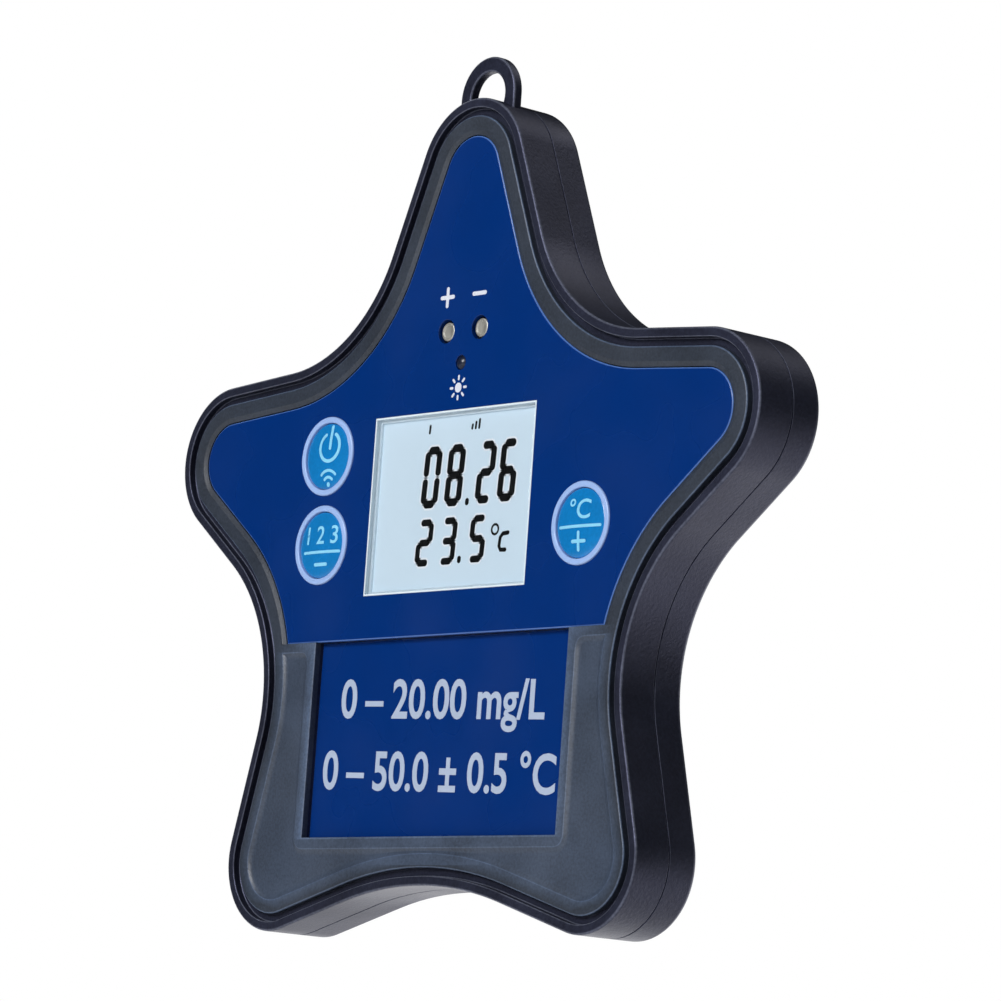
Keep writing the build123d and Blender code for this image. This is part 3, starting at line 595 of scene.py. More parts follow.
def moulded_plastic(
    name, rgb, roughness, grain_mm, height_mm, spread, ior=1.53, coat=0.0, edge=None, edge_gloss=0.0,
    sheen=WHITE
):
    """Plastic, print or foam: a fine grain, drifts of gloss and tone, specks, and its edges' tone, a
    lighter colour painted as a highlight along roundings, with less roughness there.
    """
    made, tree = new_material(name)
    place, bump, cells = grain(tree, grain_mm, height_mm)
    rough = patches(tree, place, GLOSS_PATCH, roughness - GLOSS_DRIFT, roughness + GLOSS_DRIFT)
    cloud = patches(tree, place, TONE_PATCH, 0.0, 0.5, detail=4.0)
    contrast = {"From_Min": 0.35, "From_Max": 0.65, "To_Max": 0.5}
    speck = node(tree, "ShaderNodeMapRange", {"Value": cells}, **contrast).outputs["Result"]
    mixed = node(tree, "ShaderNodeMath", {0: cloud, 1: speck}).outputs["Value"]
    ends = shades(rgb, 1 - spread, 1 + spread)
    tone = node(tree, "ShaderNodeMixRGB", {"Fac": mixed}, **ends).outputs["Color"]
    # Painted highlight: where the edge-share layer says so, the colour moves to the lighter edge tone and
    # the roughness drops by edge_gloss
    if edge:
        share = node(tree, "ShaderNodeAttribute", settings={"attribute_name": SHARE}).outputs["Fac"]
        ends = shades(edge, 1 - spread, 1 + spread)
        rim = node(tree, "ShaderNodeMixRGB", {"Fac": mixed}, **ends).outputs["Color"]
        both = {"Fac": share, "Color1": tone, "Color2": rim}
        tone = node(tree, "ShaderNodeMixRGB", both).outputs["Color"]
        drop = node(tree, "ShaderNodeMapRange", {"Value": share}, To_Max=edge_gloss).outputs["Result"]
        less = node(tree, "ShaderNodeMath", {0: rough, 1: drop}, {"operation": "SUBTRACT"})
        rough = less.outputs["Value"]
    shader = node(
        tree,
        "ShaderNodeBsdfPrincipled",
        {"Base Color": tone, "Roughness": rough, "Normal": bump},
        IOR=ior,
        Specular_Tint=opaque(sheen),
        Coat_Weight=coat,
        Coat_Roughness=0.12,
    )
    node(tree, "ShaderNodeOutputMaterial", {"Surface": shader.outputs["BSDF"]})
    return made


def pale_board(name, rgb, glow):
    """Matt white board that shows itself pale to the camera, and keeps soft shadows."""
    made, tree = new_material(name)
    place, bump, _ = grain(tree, grain_mm=2.0, height_mm=0.02)
    seen = node(tree, "ShaderNodeLightPath").outputs["Is Camera Ray"]
    cloud = patches(tree, place, 60, glow * 0.99, glow)
    light = node(tree, "ShaderNodeMath", {0: seen, 1: cloud}, {"operation": "MULTIPLY"})
    shader = node(
        tree,
        "ShaderNodeBsdfPrincipled",
        {"Emission Strength": light.outputs["Value"], "Normal": bump},
        Base_Color=opaque(rgb),
        Emission_Color=opaque(rgb),
        Roughness=0.85,
    )
    node(tree, "ShaderNodeOutputMaterial", {"Surface": shader.outputs["BSDF"]})
    return made


def lit_display(name, rgb, glow):
    """Liquid crystal glass over a light guide: a pale even ground that gives a little light."""
    made, tree = new_material(name)
    place, bump, _ = grain(tree, grain_mm=0.5, height_mm=0.002)
    cloud = patches(tree, place, 30, 0.0, 1.0)
    ends = shades(rgb, 0.97, 1.02)
    tone = node(tree, "ShaderNodeMixRGB", {"Fac": cloud}, **ends).outputs["Color"]
    shader = node(
        tree,
        "ShaderNodeBsdfPrincipled",
        {"Base Color": tone, "Emission Color": tone, "Normal": bump},
        Roughness=0.45,
        Emission_Strength=glow,
        IOR=1.5,
    )
    node(tree, "ShaderNodeOutputMaterial", {"Surface": shader.outputs["BSDF"]})
    return made


def clear_window(name):
    """Hard-coated acrylic window: clear, with the sharp reflection of a thin sheet."""
    made, tree = new_material(name)
    _, bump, _ = grain(tree, grain_mm=6.0, height_mm=0.004)
    mirror = {"Color": opaque(WHITE), "Roughness": 0.06}
    gloss = node(tree, "ShaderNodeBsdfGlossy", {"Normal": bump}, **mirror)
    through = node(tree, "ShaderNodeBsdfTransparent", Color=opaque(linear("#fcfdfe")))
    fresnel = node(tree, "ShaderNodeFresnel", IOR=1.49).outputs["Fac"]
    clear = {"Fac": fresnel, 1: through.outputs["BSDF"], 2: gloss.outputs["BSDF"]}
    front = node(tree, "ShaderNodeMixShader", clear).outputs["Shader"]
    # Seen from inside, the sheet only lets light through
    inside = node(tree, "ShaderNodeNewGeometry").outputs["Backfacing"]
    sheet = node(tree, "ShaderNodeMixShader", {"Fac": inside, 1: front, 2: through.outputs["BSDF"]})
    node(tree, "ShaderNodeOutputMaterial", {"Surface": sheet.outputs["Shader"]})
    return made


def metal(name, rgb, roughness, grain_mm=0.15, height_mm=0.004):
    """Turned or drawn metal with a fine random scratch."""
    made, tree = new_material(name)
    place, bump, _ = grain(tree, grain_mm, height_mm, strength=0.6)
    rough = patches(tree, place, WEAR_PATCH, roughness - WEAR_DRIFT, roughness + WEAR_DRIFT)
    shader = node(
        tree,
        "ShaderNodeBsdfPrincipled",
        {"Roughness": rough, "Normal": bump},
        Base_Color=opaque(rgb),
        Metallic=1.0,
    )
    node(tree, "ShaderNodeOutputMaterial", {"Surface": shader.outputs["BSDF"]})
    return made


def make_finishes():
    """Makes every material once. Numbers are roughness, grain and its height in mm, spread and IOR."""
    colours = bpy.context.scene.tester_colours

    def plastic(key, name, rgb, *look, **more):
        FINISHES[key] = moulded_plastic(name, rgb, *look, **more)

    # Injection-moulded ABS with an eroded tool texture: dark, satin, finely speckled where light grazes
    # it, with a painted highlight in a lighter tone along its rounded edges
    cool = {"edge": colours.case_edge_highlight, "edge_gloss": 0.12, "sheen": linear("#c8caff")}
    plastic("case", "ABS, eroded texture", colours.case, 0.46, 0.55, 0.06, 0.5, **cool)
    # The same plastic from a smoother tool: dark and more even, with a soft sheen
    plastic("sensor", "ABS, fine texture", colours.case, 0.44, 0.35, 0.03, 0.3)
    # Injection-moulded ABS from a blasted tool: slate grey with a soft sheen and fine specks, a lighter
    # grey-blue dish, and a painted highlight in that tone along its edges, the dish's crest and the
    # label's border
    plastic("bezel", "ABS, blasted satin", colours.bezel, 0.42, 0.5, 0.04, 0.38, edge=colours.dish)
    # Acrylic film, screen printed on its back: deep even blue under a smooth satin face, with a painted
    # highlight in lighter blue along its rounded edge
    film = (colours.panel, 0.28, 0.4, 0.002, 0.04, 1.49)
    plastic("panel", "Acrylic film, printed below", *film, edge=colours.panel_edge)
    # Moulded polycarbonate, semi-gloss: pale rings that catch light along their edges
    plastic("key_ring", "Polycarbonate, semi-gloss", colours.key_ring, 0.3, 0.3, 0.002, 0.04, 1.58)
    # Polyurethane doming resin over a printed film: wet gloss over bright blue
    plastic("key", "Polyurethane, domed", colours.key, 0.22, 0.5, 0.002, 0.12, 1.5, coat=0.8)
    # Screen inks, cured: opaque, slightly raised, with a flat sheen
    plastic("mark", "Screen ink, white", colours.mark, 0.5, 0.12, 0.003, 0.05)
    plastic("label_mark", "Screen ink, pale grey", colours.label_mark, 0.5, 0.12, 0.003, 0.05)
    plastic("key_mark", "Screen ink, pale blue", colours.key_mark, 0.4, 0.12, 0.003, 0.05)
    # Liquid crystal glass over its light: a pale ground, near-black segments with a thin pale edge
    FINISHES["display"] = lit_display("Liquid crystal glass, lit", colours.display, 0.25)
    plastic("halo", "Liquid crystal, pale edge", linear("#eef4fa"), 0.5, 0.2, 0.001, 0.03)
    plastic("figure", "Liquid crystal, switched on", colours.figure, 0.5, 0.2, 0.001, 0.05, 1.3)
    # Cast acrylic with a hard coat: clear, with a sharp faint reflection
    FINISHES["window"] = clear_window("Acrylic, hard coated")
    # Closed-cell polyethylene foam, die cut: matt, with fine pores
    plastic("white_foam", "Polyethylene foam, white", linear("#e8f4fc"), 0.8, 0.3, 0.03, 0.05)
    plastic("black_foam", "Polyethylene foam, black", linear("#202224"), 0.85, 0.3, 0.05, 0.1)
    # Compression-moulded silicone: dull, soft black
    plastic("rubber", "Silicone rubber, moulded", linear("#17181a"), 0.7, 0.4, 0.01, 0.1, 1.41)
    # Opal acrylic, polished: milky white with a clean shine
    plastic("light_guide", "Acrylic, opal", linear("#e8eef0"), 0.3, 0.5, 0.002, 0.03, 1.49)
    # Glass-epoxy laminate with solder resist: deep glossy green, a little uneven
    resist = (linear("#0c5a34"), 0.4, 0.5, 0.01, 0.12)
    plastic("board", "Glass-epoxy, solder resist", *resist, coat=0.3)
    # Injection-moulded nylon: black, a little waxy
    plastic("nylon", "Nylon, moulded black", linear("#1c1d1f"), 0.55, 0.2, 0.01, 0.1)
    # Smoked acrylic light pipe, polished: a dark glossy dot
    plastic("smoked", "Acrylic, smoked", linear("#1a2238"), 0.3, 0.5, 0.001, 0.05, 1.49)
    # Fluoropolymer film, stretched: thin, milky and slippery
    plastic("film", "Fluoropolymer film", linear("#dfe6e8"), 0.25, 0.3, 0.003, 0.03, 1.35)
    # Stainless steel, turned and tumbled: a soft bright shine, and duller where it is brushed
    FINISHES["steel"] = metal("Stainless steel, turned", linear("#b8b9b6"), 0.32)
    FINISHES["contact"] = metal("Stainless steel, brushed", linear("#d2d0c8"), 0.5, 0.25, 0.012)
    # Silver, left matt, and gold plated on a polished disc: a pale soft shine and a warm bright one
    FINISHES["silver"] = metal("Silver, matt", linear("#dcdcd8"), 0.35)
    FINISHES["gold"] = metal("Gold plate", linear("#e6b450"), 0.25)
    # Aluminium laminate, embossed: the dimpled grey of a pouch cell
    FINISHES["pouch"] = metal("Aluminium laminate, embossed", linear("#b4b8bc"), 0.4, 0.8, 0.03)


# Places on the face


def star_place(node_name):
    """Middle of a CAD node in X and Z about the star's centre."""
    centre = middle(node_name)
    return centre.x, centre.z - bpy.context.scene.tester_outline.centre_z


def node_rail(node_name, grow=0.0):
    """A CAD node's outline as a rectangle about the star's centre."""
    low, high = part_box(node_name)
    level = bpy.context.scene.tester_outline.centre_z
    return box_rail(low.x - grow, low.z - level - grow, high.x + grow, high.z - level + grow)


def depths_of(name):
    """Depths of a CAD node's front and back."""
    low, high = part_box(name)
    return low.y - FRONT, high.y - FRONT


def contact_places():
    """Centres of the two charging contacts, and their radius."""
    low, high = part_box("charge_contacts")
    radius = (high.z - low.z) / 2
    z = star_place("charge_contacts")[1]
    return [(low.x + radius, z), (high.x - radius, z)], radius


def face_holes(keys):
    """Rails of the round holes in the face: keys, contacts and indicator."""
    places, radius = contact_places()
    keys_radius = keys.ring_radius - keys.ring_width
    rails = [circle_rail(*star_place(name), keys_radius) for name in KEY_NODES]
    rails += [circle_rail(x, z, radius + keys.contact_recess, SMALL_ROUND) for x, z in places]
    return rails + [circle_rail(*star_place("indicator_lens"), keys.indicator_hole, SMALL_ROUND)]


# Pieces of the case


def arch_rail(radius, z, root, count=SMALL_ROUND):
    """A half circle on straight legs."""
    crown = [Vector((0, z)) + polar(math.pi * i / count, radius) for i in range(count + 1)]
    return [*crown, Vector((-radius, z - root)), Vector((radius, z - root))]


def add_loop(skin, sizes, z):
    """The hanging loop: a rounded arch with a round eye, its legs sunk in the case."""
    outer = arch_rail(sizes.eye + sizes.loop_wall, z, sizes.loop_root)
    eye = circle_rail(0, z, sizes.eye)
    edge = sizes.loop_edge
    front, back = sizes.loop_front, sizes.loop_back
    wall = [(edge * LAND, front), (0, front, edge), (0, back, edge), (edge * LAND, back)]
    outer_front, outer_back = skin.carry(outer, rounded(wall))
    eye_wall = [(-inset, *rest) for inset, *rest in wall]
    eye_front, eye_back = skin.carry(eye, rounded(eye_wall))
    skin.fill(outer_front, eye_front)
    skin.fill(outer_back, eye_back)


def wall_profile(sizes, inside, side):
    """Profile of a half's wall at the parting line. The side is -1 for the front and 1 for the rear."""
    inner_edge, slope = 0.02 * MM, 0.8  # rounding inside the groove, and its lip's rise to its reach
    return [
        (sizes.wall, inside),
        (sizes.wall, sizes.split),
        (sizes.parting, sizes.split + side * sizes.seam, inner_edge),
        (0, sizes.split + side * sizes.parting * slope, sizes.seam_edge),
    ]


def build_case_front(context):
    """Front half of the case: wall, rim, groove, deck with its holes, label pocket and hanging loop."""
    sizes, face = context.scene.tester_case, context.scene.tester_face
    skin = Skin()
    deck_back = sizes.deck + sizes.deck_wall
    # The roundings of the rim, the groove's lips and the loop take a painted highlight in the case's edge
    # tone
    profile = [
        *wall_profile(sizes, deck_back, -1),
        (0, 0, sizes.rim_edge),
        (sizes.rim_land, 0, sizes.inner_edge),
        (sizes.rim_land, sizes.deck, sizes.inner_edge),
        (sizes.rim_land + sizes.groove + sizes.ledge, sizes.deck),
    ]
    back_ring, deck_ring = skin.carry(star_rail(), rounded(profile))
    through = [node_rail("display_glass", face.gap), *face_holes(context.scene.tester_keys)]
    holes = [skin.carry(rail, [(0, sizes.deck), (0, deck_back)]) for rail in through]
    label = node_rail("label_plate", face.gap)
    floor = face.label_front + sizes.pocket_floor
    label_top, label_floor = skin.carry(label, [(0, sizes.deck), (0, floor)])
    skin.fill(label_floor)
    skin.fill(deck_ring, label_top, *[top for top, _ in holes])
    skin.fill(back_ring, *[bottom for _, bottom in holes])
    add_loop(skin, sizes, -context.scene.tester_outline.centre_z)
    skin.finish("case_front", "case", "case", ("front_shell",), "case_plastic")


def build_case_rear(context):
    """Rear half of the case, with the sunk seats of its screws and the collar for the guard."""
    sizes = context.scene.tester_case
    skin = Skin()
    # The roundings of the back's edge, the groove's lips, the screw seats and the collar take a painted
    # highlight in the case's edge tone
    profile = [
        *wall_profile(sizes, sizes.depth - sizes.back_wall, 1),
        (0, sizes.depth, sizes.back_edge),
        (sizes.back_land, sizes.depth),
    ]
    floor_ring, back_ring = skin.carry(star_rail(), rounded(profile, steps=8))
    skin.fill(floor_ring)
    mouth, mouth_edge = mm((0.2, 0.15))
    sink = [
        (-mouth, sizes.depth),
        (0, sizes.depth, mouth_edge),
        (0, sizes.depth - sizes.seat_depth),
    ]
    seats = []
    for centre, _, side in star_corners(context.scene.tester_outline):
        if side > 0:
            rail = circle_rail(centre.x, centre.y, sizes.seat_radius, SMALL_ROUND)
            top, bottom = skin.carry(rail, rounded(sink))
            skin.fill(bottom)
            seats.append(top)
    skin.fill(back_ring, *seats)
    root, edge = mm((0.5, 0.2))
    inner, outer = sizes.collar_inner, sizes.collar_inner + sizes.collar_wall
    low, high = sizes.depth - root, sizes.depth + sizes.collar_height
    line = rounded([(inner, low), (inner, high, edge), (outer, high, edge), (outer, low)])
    skin.spin(*star_place("sensor_body"), [*line, line[0]])
    skin.finish("case_rear", "case", "case", ("rear_shell",), "case_plastic")


# Pieces of the face


def label_sides(grow, level):
    """The label's outline below a level, from its left side round to its right."""
    left, right = node_rail("label_plate", grow)[:2]
    return [Vector((left.x, level)), left, right, Vector((right.x, level))]


def bezel_opening(inset, face, keep, grow):
    """The bezel's inner outline: round the panel, then round the label below it."""
    run = cut_star(inset, face.panel_bottom, True, keep)
    return run + label_sides(grow, face.panel_bottom)


def dish_rail(inset, face):
    """The dish's outline: along the star's legs outside, and round the label's border inside."""
    level = face.panel_bottom - face.dish_top
    return cut_star(inset, level, False, inset) + label_sides(face.dish_border, level)[::-1]


def eased(depth, width, top, steps=8):
    """Profile of a dished step: a small rounding at its top, then a slope that levels out."""
    start, drop = 0.08, 0.06  # shares of the width and the depth that the rounding takes
    line = [(0, top), (width * start / 2, top + depth * drop / 3)]
    for i in range(1, steps + 1):
        t = i / steps
        fall = 1 - (1 - t) ** 2
        line.append((width * (start + (1 - start) * t), top + depth * (drop + (1 - drop) * fall)))
    return line


def build_bezel(context):
    """The bezel: an even ring round the panel, and a frame round the label with a shallow dish."""
    sizes, face = context.scene.tester_case, context.scene.tester_face
    skin = Skin()
    outer_inset = sizes.rim_land + sizes.groove
    inner_inset = outer_inset + face.bezel_ring
    edge = face.bezel_edge
    # The outer edge's rounding takes a painted highlight in the dish's tone
    side = [(0, sizes.deck), (0, face.bezel_front, edge), (edge * 1.4, face.bezel_front)]
    outer_back, outer_front = skin.carry(star_rail(outer_inset), rounded(side))
    keep = inner_inset - face.bezel_bevel
    front, soft = face.bezel_front, face.border_edge
    # Inset from the star, depth, growth from the label, and share of the edge's tone round the label,
    # which paints a highlight along the label's border
    steps = [
        (keep, front, soft, 1.0),
        (keep + 0.1 * MM, front + 0.03 * MM, soft * 0.5, 1.0),
        (keep + 0.25 * MM, front + 0.11 * MM, soft * 0.13, 0.8),
        (inner_inset, face.panel_front, 0, 0.0),
        (inner_inset, sizes.deck, 0, 0.0),
    ]
    rings = []
    for inset, depth, grow, share in steps:
        rings.append(skin.ring(bezel_opening(inset, face, keep, grow), depth))
        for vert in rings[-1][-4:]:
            vert[skin.share] = share
    for ring, other in zip(rings, rings[1:]):
        skin.bridge(ring, other)
    dish = softened(dish_rail(outer_inset + face.dish_rim, face), face.dish_corner)
    slope = eased(face.dish_depth, face.dish_slope, front)
    # The dish's first ring is a little lighter than the dish, and the second is a painted highlight along
    # its crest
    shares = [face.dish_share * 1.4, 1.0] + [face.dish_share] * (len(slope) - 2)
    profile = [(*step, share) for step, share in zip(slope, shares)]
    dish_top, dish_floor = skin.carry(dish, profile)
    skin.fill(dish_floor)
    # The flat face grows lighter from its outer edge towards the dish and the label's border, where those
    # rings take more of the edge tone
    skin.fill(outer_front, rings[0], dish_top)
    skin.fill(outer_back, rings[-1])
    skin.finish("bezel_frame", "bezel", "case", ("bezel",), "bezel_plastic", sharp=38)


def build_panel(context):
    """The printed panel, with its window, key rings' seats and small holes."""
    sizes, face, keys = context.scene.tester_case, context.scene.tester_face, context.scene.tester_keys
    skin = Skin()
    inset = sizes.rim_land + sizes.groove + face.bezel_ring + face.panel_gap
    edge = face.panel_edge
    # The rounded edge takes a painted highlight in the panel's edge tone
    side = [(0, sizes.deck), (0, face.panel_front, edge), (edge * LAND, face.panel_front)]
    outline = cut_star(inset, face.panel_bottom, True, inset)
    back_ring, front_ring = skin.carry(outline, rounded(side))
    gap, lip = mm((0.02, 0.06))
    rails = [node_rail("display_window", gap)]
    rails += [circle_rail(*star_place(name), keys.ring_radius + gap) for name in KEY_NODES]
    rails += face_holes(keys)[len(KEY_NODES) :]
    wall = [(-lip, face.panel_front), (0, face.panel_front + lip), (0, sizes.deck)]
    holes = [skin.carry(rail, wall) for rail in rails]
    skin.fill(front_ring, *[top for top, _ in holes])
    skin.fill(back_ring, *[bottom for _, bottom in holes])
    skin.finish("printed_panel", "panel", "case", ("overlay_panel",), "panel_blue")


def slab(skin, rail, front, back, edge):
    """A flat plate with a rounded front edge."""
    side = [(0, back), (0, front, edge), (edge * LAND, front)]
    bottom, top = skin.carry(rail, rounded(side))
    skin.fill(bottom)
    skin.fill(top)


def build_label(context):
    """The recessed label plate."""
    skin = Skin()
    rail = softened(node_rail("label_plate"), context.scene.tester_face.label_corner)
    # Its thin rounded edge takes the panel's painted edge highlight
    slab(skin, rail, *depths_of("label_plate"), 0.05 * MM)
    skin.finish("label_sheet", "panel", "case", ("label_plate",), "panel_blue")


def crown_radius(keys):
    """Radius of a key's dome within its rounded edge."""
    return keys.ring_radius - keys.ring_width - keys.key_gap - keys.key_edge


def build_keys(context):
    """Three rings, and three domed keys with their flanges and stems."""
    deck, keys = context.scene.tester_case.deck, context.scene.tester_keys
    inner, outer, front = keys.ring_radius - keys.ring_width, keys.ring_radius, keys.ring_front
    section = [
        (inner, deck),
        (inner, front, keys.ring_inner_edge),
        (outer, front, keys.ring_outer_edge),
        (outer, deck),
    ]
    line = rounded(section)
    rings = Skin()
    for name in KEY_NODES:
        rings.spin(*star_place(name), [*line, line[0]])
    rings.finish("key_ring_set", "key_ring", "case", ("key_rings",), "key_ring_plastic")
    radius, crown = inner - keys.key_gap, crown_radius(keys)
    count = 12
    dome = [(crown * i / count, keys.dome * (i / count) ** 2) for i in range(count + 1)]
    shoulder = (radius, keys.dome + keys.key_drop, keys.shoulder_edge)
    corner = [(crown, keys.dome), shoulder, (radius, keys.flange_front)]
    for name in KEY_NODES:
        low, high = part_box(name)
        flange = (high.x - low.x) / 2
        stem_end = depths_of(name)[1]
        foot = [
            (flange, keys.flange_front),
            (flange, keys.flange_back),
            (keys.stem_radius, keys.flange_back),
            (keys.stem_radius, stem_end),
            (0, stem_end),
        ]
        skin = Skin()
        skin.spin(*star_place(name), [*dome, *rounded(corner)[1:], *foot])
        body = name.replace("_key", "_button")
        skin.finish(name + "_dome", "key", body, (name,), "key_plastic", sharp=50)


def build_window(context):
    """The clear sheet over the display, in a thin white liner."""
    liner = context.scene.tester_face.liner
    front, back = depths_of("display_window")
    gap, sink, edge = mm((0.03, 0.02, 0.04))
    skin = Skin()
    slab(skin, node_rail("display_window", -liner - gap), front, back, edge * 2)
    skin.finish("clear_sheet", "window", "case", ("display_window",), "clear_window")
    skin = Skin()
    wall = [(0, back), (0, front + sink, edge), (liner, front + sink, edge), (liner, back)]
    last, first = skin.carry(node_rail("display_window", -sink / 2), rounded(wall))
    skin.bridge(first, last)
    skin.finish("window_liner", "white_foam", "case")


# Print and figures: places and widths are in millimetres about the star's centre

SEGMENTS = dict(
    zip("0123456789", "abcdef bc abged abgcd fgbc afgcd afgedc abc abcdefg abcdfg".split())
)
UPRIGHT = {"b": (1, 1), "c": (1, -1), "e": (-1, -1), "f": (-1, 1)}
LEVEL = {"a": 1, "g": 0, "d": -1}
DIGIT_LEAN = 0.06
JOINT = 0.62  # of the stroke, from a digit's corner to the end of a segment
HALO, HALO_RISE, SEGMENT_RISE = 0.7, 0.01, 0.02
# Figures, their middles across, then their height on the face, width, height and stroke
READING = (
    ("0826", (-6.64, -0.46, 7.6, 13.3), (14.0, 4.5, 10.8, 1.4)),
    ("235", (-7.36, -1.08, 6.55), (2.6, 4.2, 8.2, 1.2)),
)
# Decimal points by their feet, and small bars by their middles and heights
POINTS = ((3.15, 9.0), (2.13, -0.95))
SMALL_BARS = ((3.2, 22.2, 0.6), (4.1, 22.4, 1.0), (5.0, 22.6, 1.4), (-8.0, 22.5, 1.2))
DEGREE = (11.0, 3.95, 0.85, 0, 350)
LETTER_C = ((14.4, 3.2), (13.1, 3.1), (12.5, 2.5), (12.3, 1.0), (12.7, 0.35), (13.9, 0.3))
CAP_HEIGHT = 0.73  # of the default font, as a share of its size
LETTER_RISE = 0.04
# Ranges on the label: text, left and right edge, and base line
RANGES = (
    ("0 \u2013 20.00 mg/L", -26.9, 26.6, -27.9),
    ("0 \u2013 50.0 \u00b1 0.5 \u00b0C", -30.6, 30.4, -40.4),
)
RANGE_HEIGHT, RANGE_SLOPE = 6.9, -0.03
# Signs over the contacts, and the lamp sign with its dot and its rays
SIGN_LEVEL, SIGN_SIDE, SIGN_SIZE, SIGN_STROKE = 45.2, 4.2, 3.0, 0.72
LAMP, LAMP_DOT, LAMP_RAYS, LAMP_STROKE = (0.3, 29.0), 1.7, 8, 0.45


def flat(depth):
    """A surface at one depth."""
    return lambda point: depth


def bow(x, z, radius, start, end, step=8):
    """Points along an arc between two angles in degrees."""
    count = max(2, round(abs(end - start) / step))
    angles = [math.radians(start + (end - start) * i / count) for i in range(count + 1)]
    return [Vector((x, z)) + polar(angle, radius) for angle in angles]


def bar(x, z, across, up, count=12):
    """Points along a straight line about its middle."""
    return [Vector((x, z)) + Vector((across, up)) * (i / count - 0.5) for i in range(count + 1)]


def digit(skin, figure, x, z, width, height, stroke, surface, halo=0.0):
    """A slanted seven-segment digit about its middle."""
    half, rise = (width - stroke) / 2, (height - stroke) / 2
    gap = stroke * JOINT

    def lean(u, v):
        return Vector((x + u + v * DIGIT_LEAN, z + v))

    for segment in SEGMENTS[figure]:
        if segment in UPRIGHT:
            side, up = UPRIGHT[segment]
            ends = [lean(side * half, up * gap), lean(side * half, up * (rise - gap))]
        else:
            v = LEVEL[segment] * rise
            ends = [lean(-half + gap, v), lean(half - gap, v)]
        skin.ribbon(ends, stroke + halo, surface, HALO_RISE if halo else SEGMENT_RISE)


def build_figures():
    """The reading: a value with two decimals, and a temperature under it."""
    surface = flat(depths_of("display_glass")[0])
    skin, pale = Skin(), Skin()
    for target, halo in ((skin, 0), (pale, HALO)):
        for figures, places, (z, width, height, stroke) in READING:
            for figure, x in zip(figures, places):
                digit(target, figure, x, z, width, height, stroke, surface, halo)
    pale.finish("display_halo", "halo", "case")
    strokes = [([(x, z), (x + 0.02, z + 0.35)], 0.95) for x, z in POINTS]
    strokes += [(bow(*DEGREE), 0.42), (LETTER_C, 0.75)]
    for x, z, tall in SMALL_BARS:
        strokes.append(([(x, z - tall / 2), (x + 0.1, z + tall / 2)], 0.5))
    for line, width in strokes:
        skin.ribbon(line, width, surface, SEGMENT_RISE)
    skin.finish("display_figures", "figure", "case")


def lettering(text, left, right, base, height, surface, slope=0.0, weight=0.0):
    """Mesh of a line of generic figures, fitted between two edges and raised off a surface."""
    curve = bpy.data.curves.new("figures", "FONT")
    curve.body = text
    curve.extrude = 0.5
    curve.offset = weight
    curve.resolution_u = 5
    drawn = bpy.data.objects.new("figures", curve)
    bpy.context.scene.collection.objects.link(drawn)
    bpy.context.view_layer.update()
    solid = drawn.evaluated_get(bpy.context.evaluated_depsgraph_get())
    mesh = bpy.data.meshes.new_from_object(solid)
    bpy.data.objects.remove(drawn)
    bpy.data.curves.remove(curve)
    left, right, base, height, rise = mm((left, right, base, height, LETTER_RISE))
    start, end = min(v.co.x for v in mesh.vertices), max(v.co.x for v in mesh.vertices)
    centre_z = bpy.context.scene.tester_outline.centre_z
    for vert in mesh.vertices:
        x = left + (vert.co.x - start) / (end - start) * (right - left)
        z = base + vert.co.y / CAP_HEIGHT * height + (x - (left + right) / 2) * slope
        depth = surface(Vector((x, z))) - (rise if vert.co.z > 0 else -rise / 2)
        vert.co = (x, depth + FRONT, z + centre_z)
    mesh.update()
    return mesh


def build_panel_marks(context):
    """Plus and minus over the contacts, and a lamp sign under the indicator."""
    surface = flat(context.scene.tester_face.panel_front)
    skin = Skin()
    for x in (-SIGN_SIDE, SIGN_SIDE):
        skin.ribbon(bar(x, SIGN_LEVEL, SIGN_SIZE, 0), SIGN_STROKE, surface)
    skin.ribbon(bar(-SIGN_SIDE, SIGN_LEVEL, 0, SIGN_SIZE), SIGN_STROKE, surface, 0.048)
    skin.ribbon(bar(*LAMP, 0, 0.05, 2), LAMP_DOT, surface)
    for i in range(LAMP_RAYS):
        ray = polar(2 * math.pi * i / LAMP_RAYS, 1)
        skin.ribbon([Vector(LAMP) + ray * 1.5, Vector(LAMP) + ray * 2.0], LAMP_STROKE, surface)
    skin.finish("panel_marks", "mark", "case")


def build_label_figures():
    """The ranges on the label: plain numbers with their units."""
    surface = flat(depths_of("label_plate")[0])
    skin = Skin()
    for line in RANGES:
        skin.add(lettering(*line, RANGE_HEIGHT, surface, RANGE_SLOPE, 0.018))
    skin.finish("label_figures", "label_mark", "case")


def key_surface(name, keys):
    """Depth of a key's dome at a point."""
    centre, crown = Vector(star_place(name)), crown_radius(keys)
    return lambda point: keys.dome * ((point - centre).length / crown) ** 2


# Marks of each key: strokes by points, width and sometimes rise, and lettering with its height
KEY_MARKS = {
    "power_key": (
        [
            (bow(-33.2, 21.0, 2.55, 120, 420), 0.62),
            (bar(-33.0, 22.7, 0, 3.9), 0.62),
            (bar(-33.2, 14.3, 0, 0.1, 2), 0.75),
            (bow(-33.2, 14.2, 1.4, 45, 135), 0.5),
            (bow(-33.2, 14.2, 2.6, 45, 135), 0.5),
        ],
        None,
    ),
    "mode_key": (
        [(bar(-33.5, 2.2, 9.4, 0), 0.5), (bar(-33.5, 0, 2.9, 0), 0.6)],
        ("1 2 3", -37.6, -29.4, 3.7, 3.3),
    ),
    "temperature_key": (
        [
            (bar(34.1, 2.9, 9.8, 0), 0.5),
            (bar(34.1, 0.4, 2.9, 0), 0.6),
            (bar(34.1, 0.4, 0, 2.9), 0.6, 0.056),
        ],
        ("\u00b0C", 31.4, 36.6, 4.2, 3.4),
    ),
}


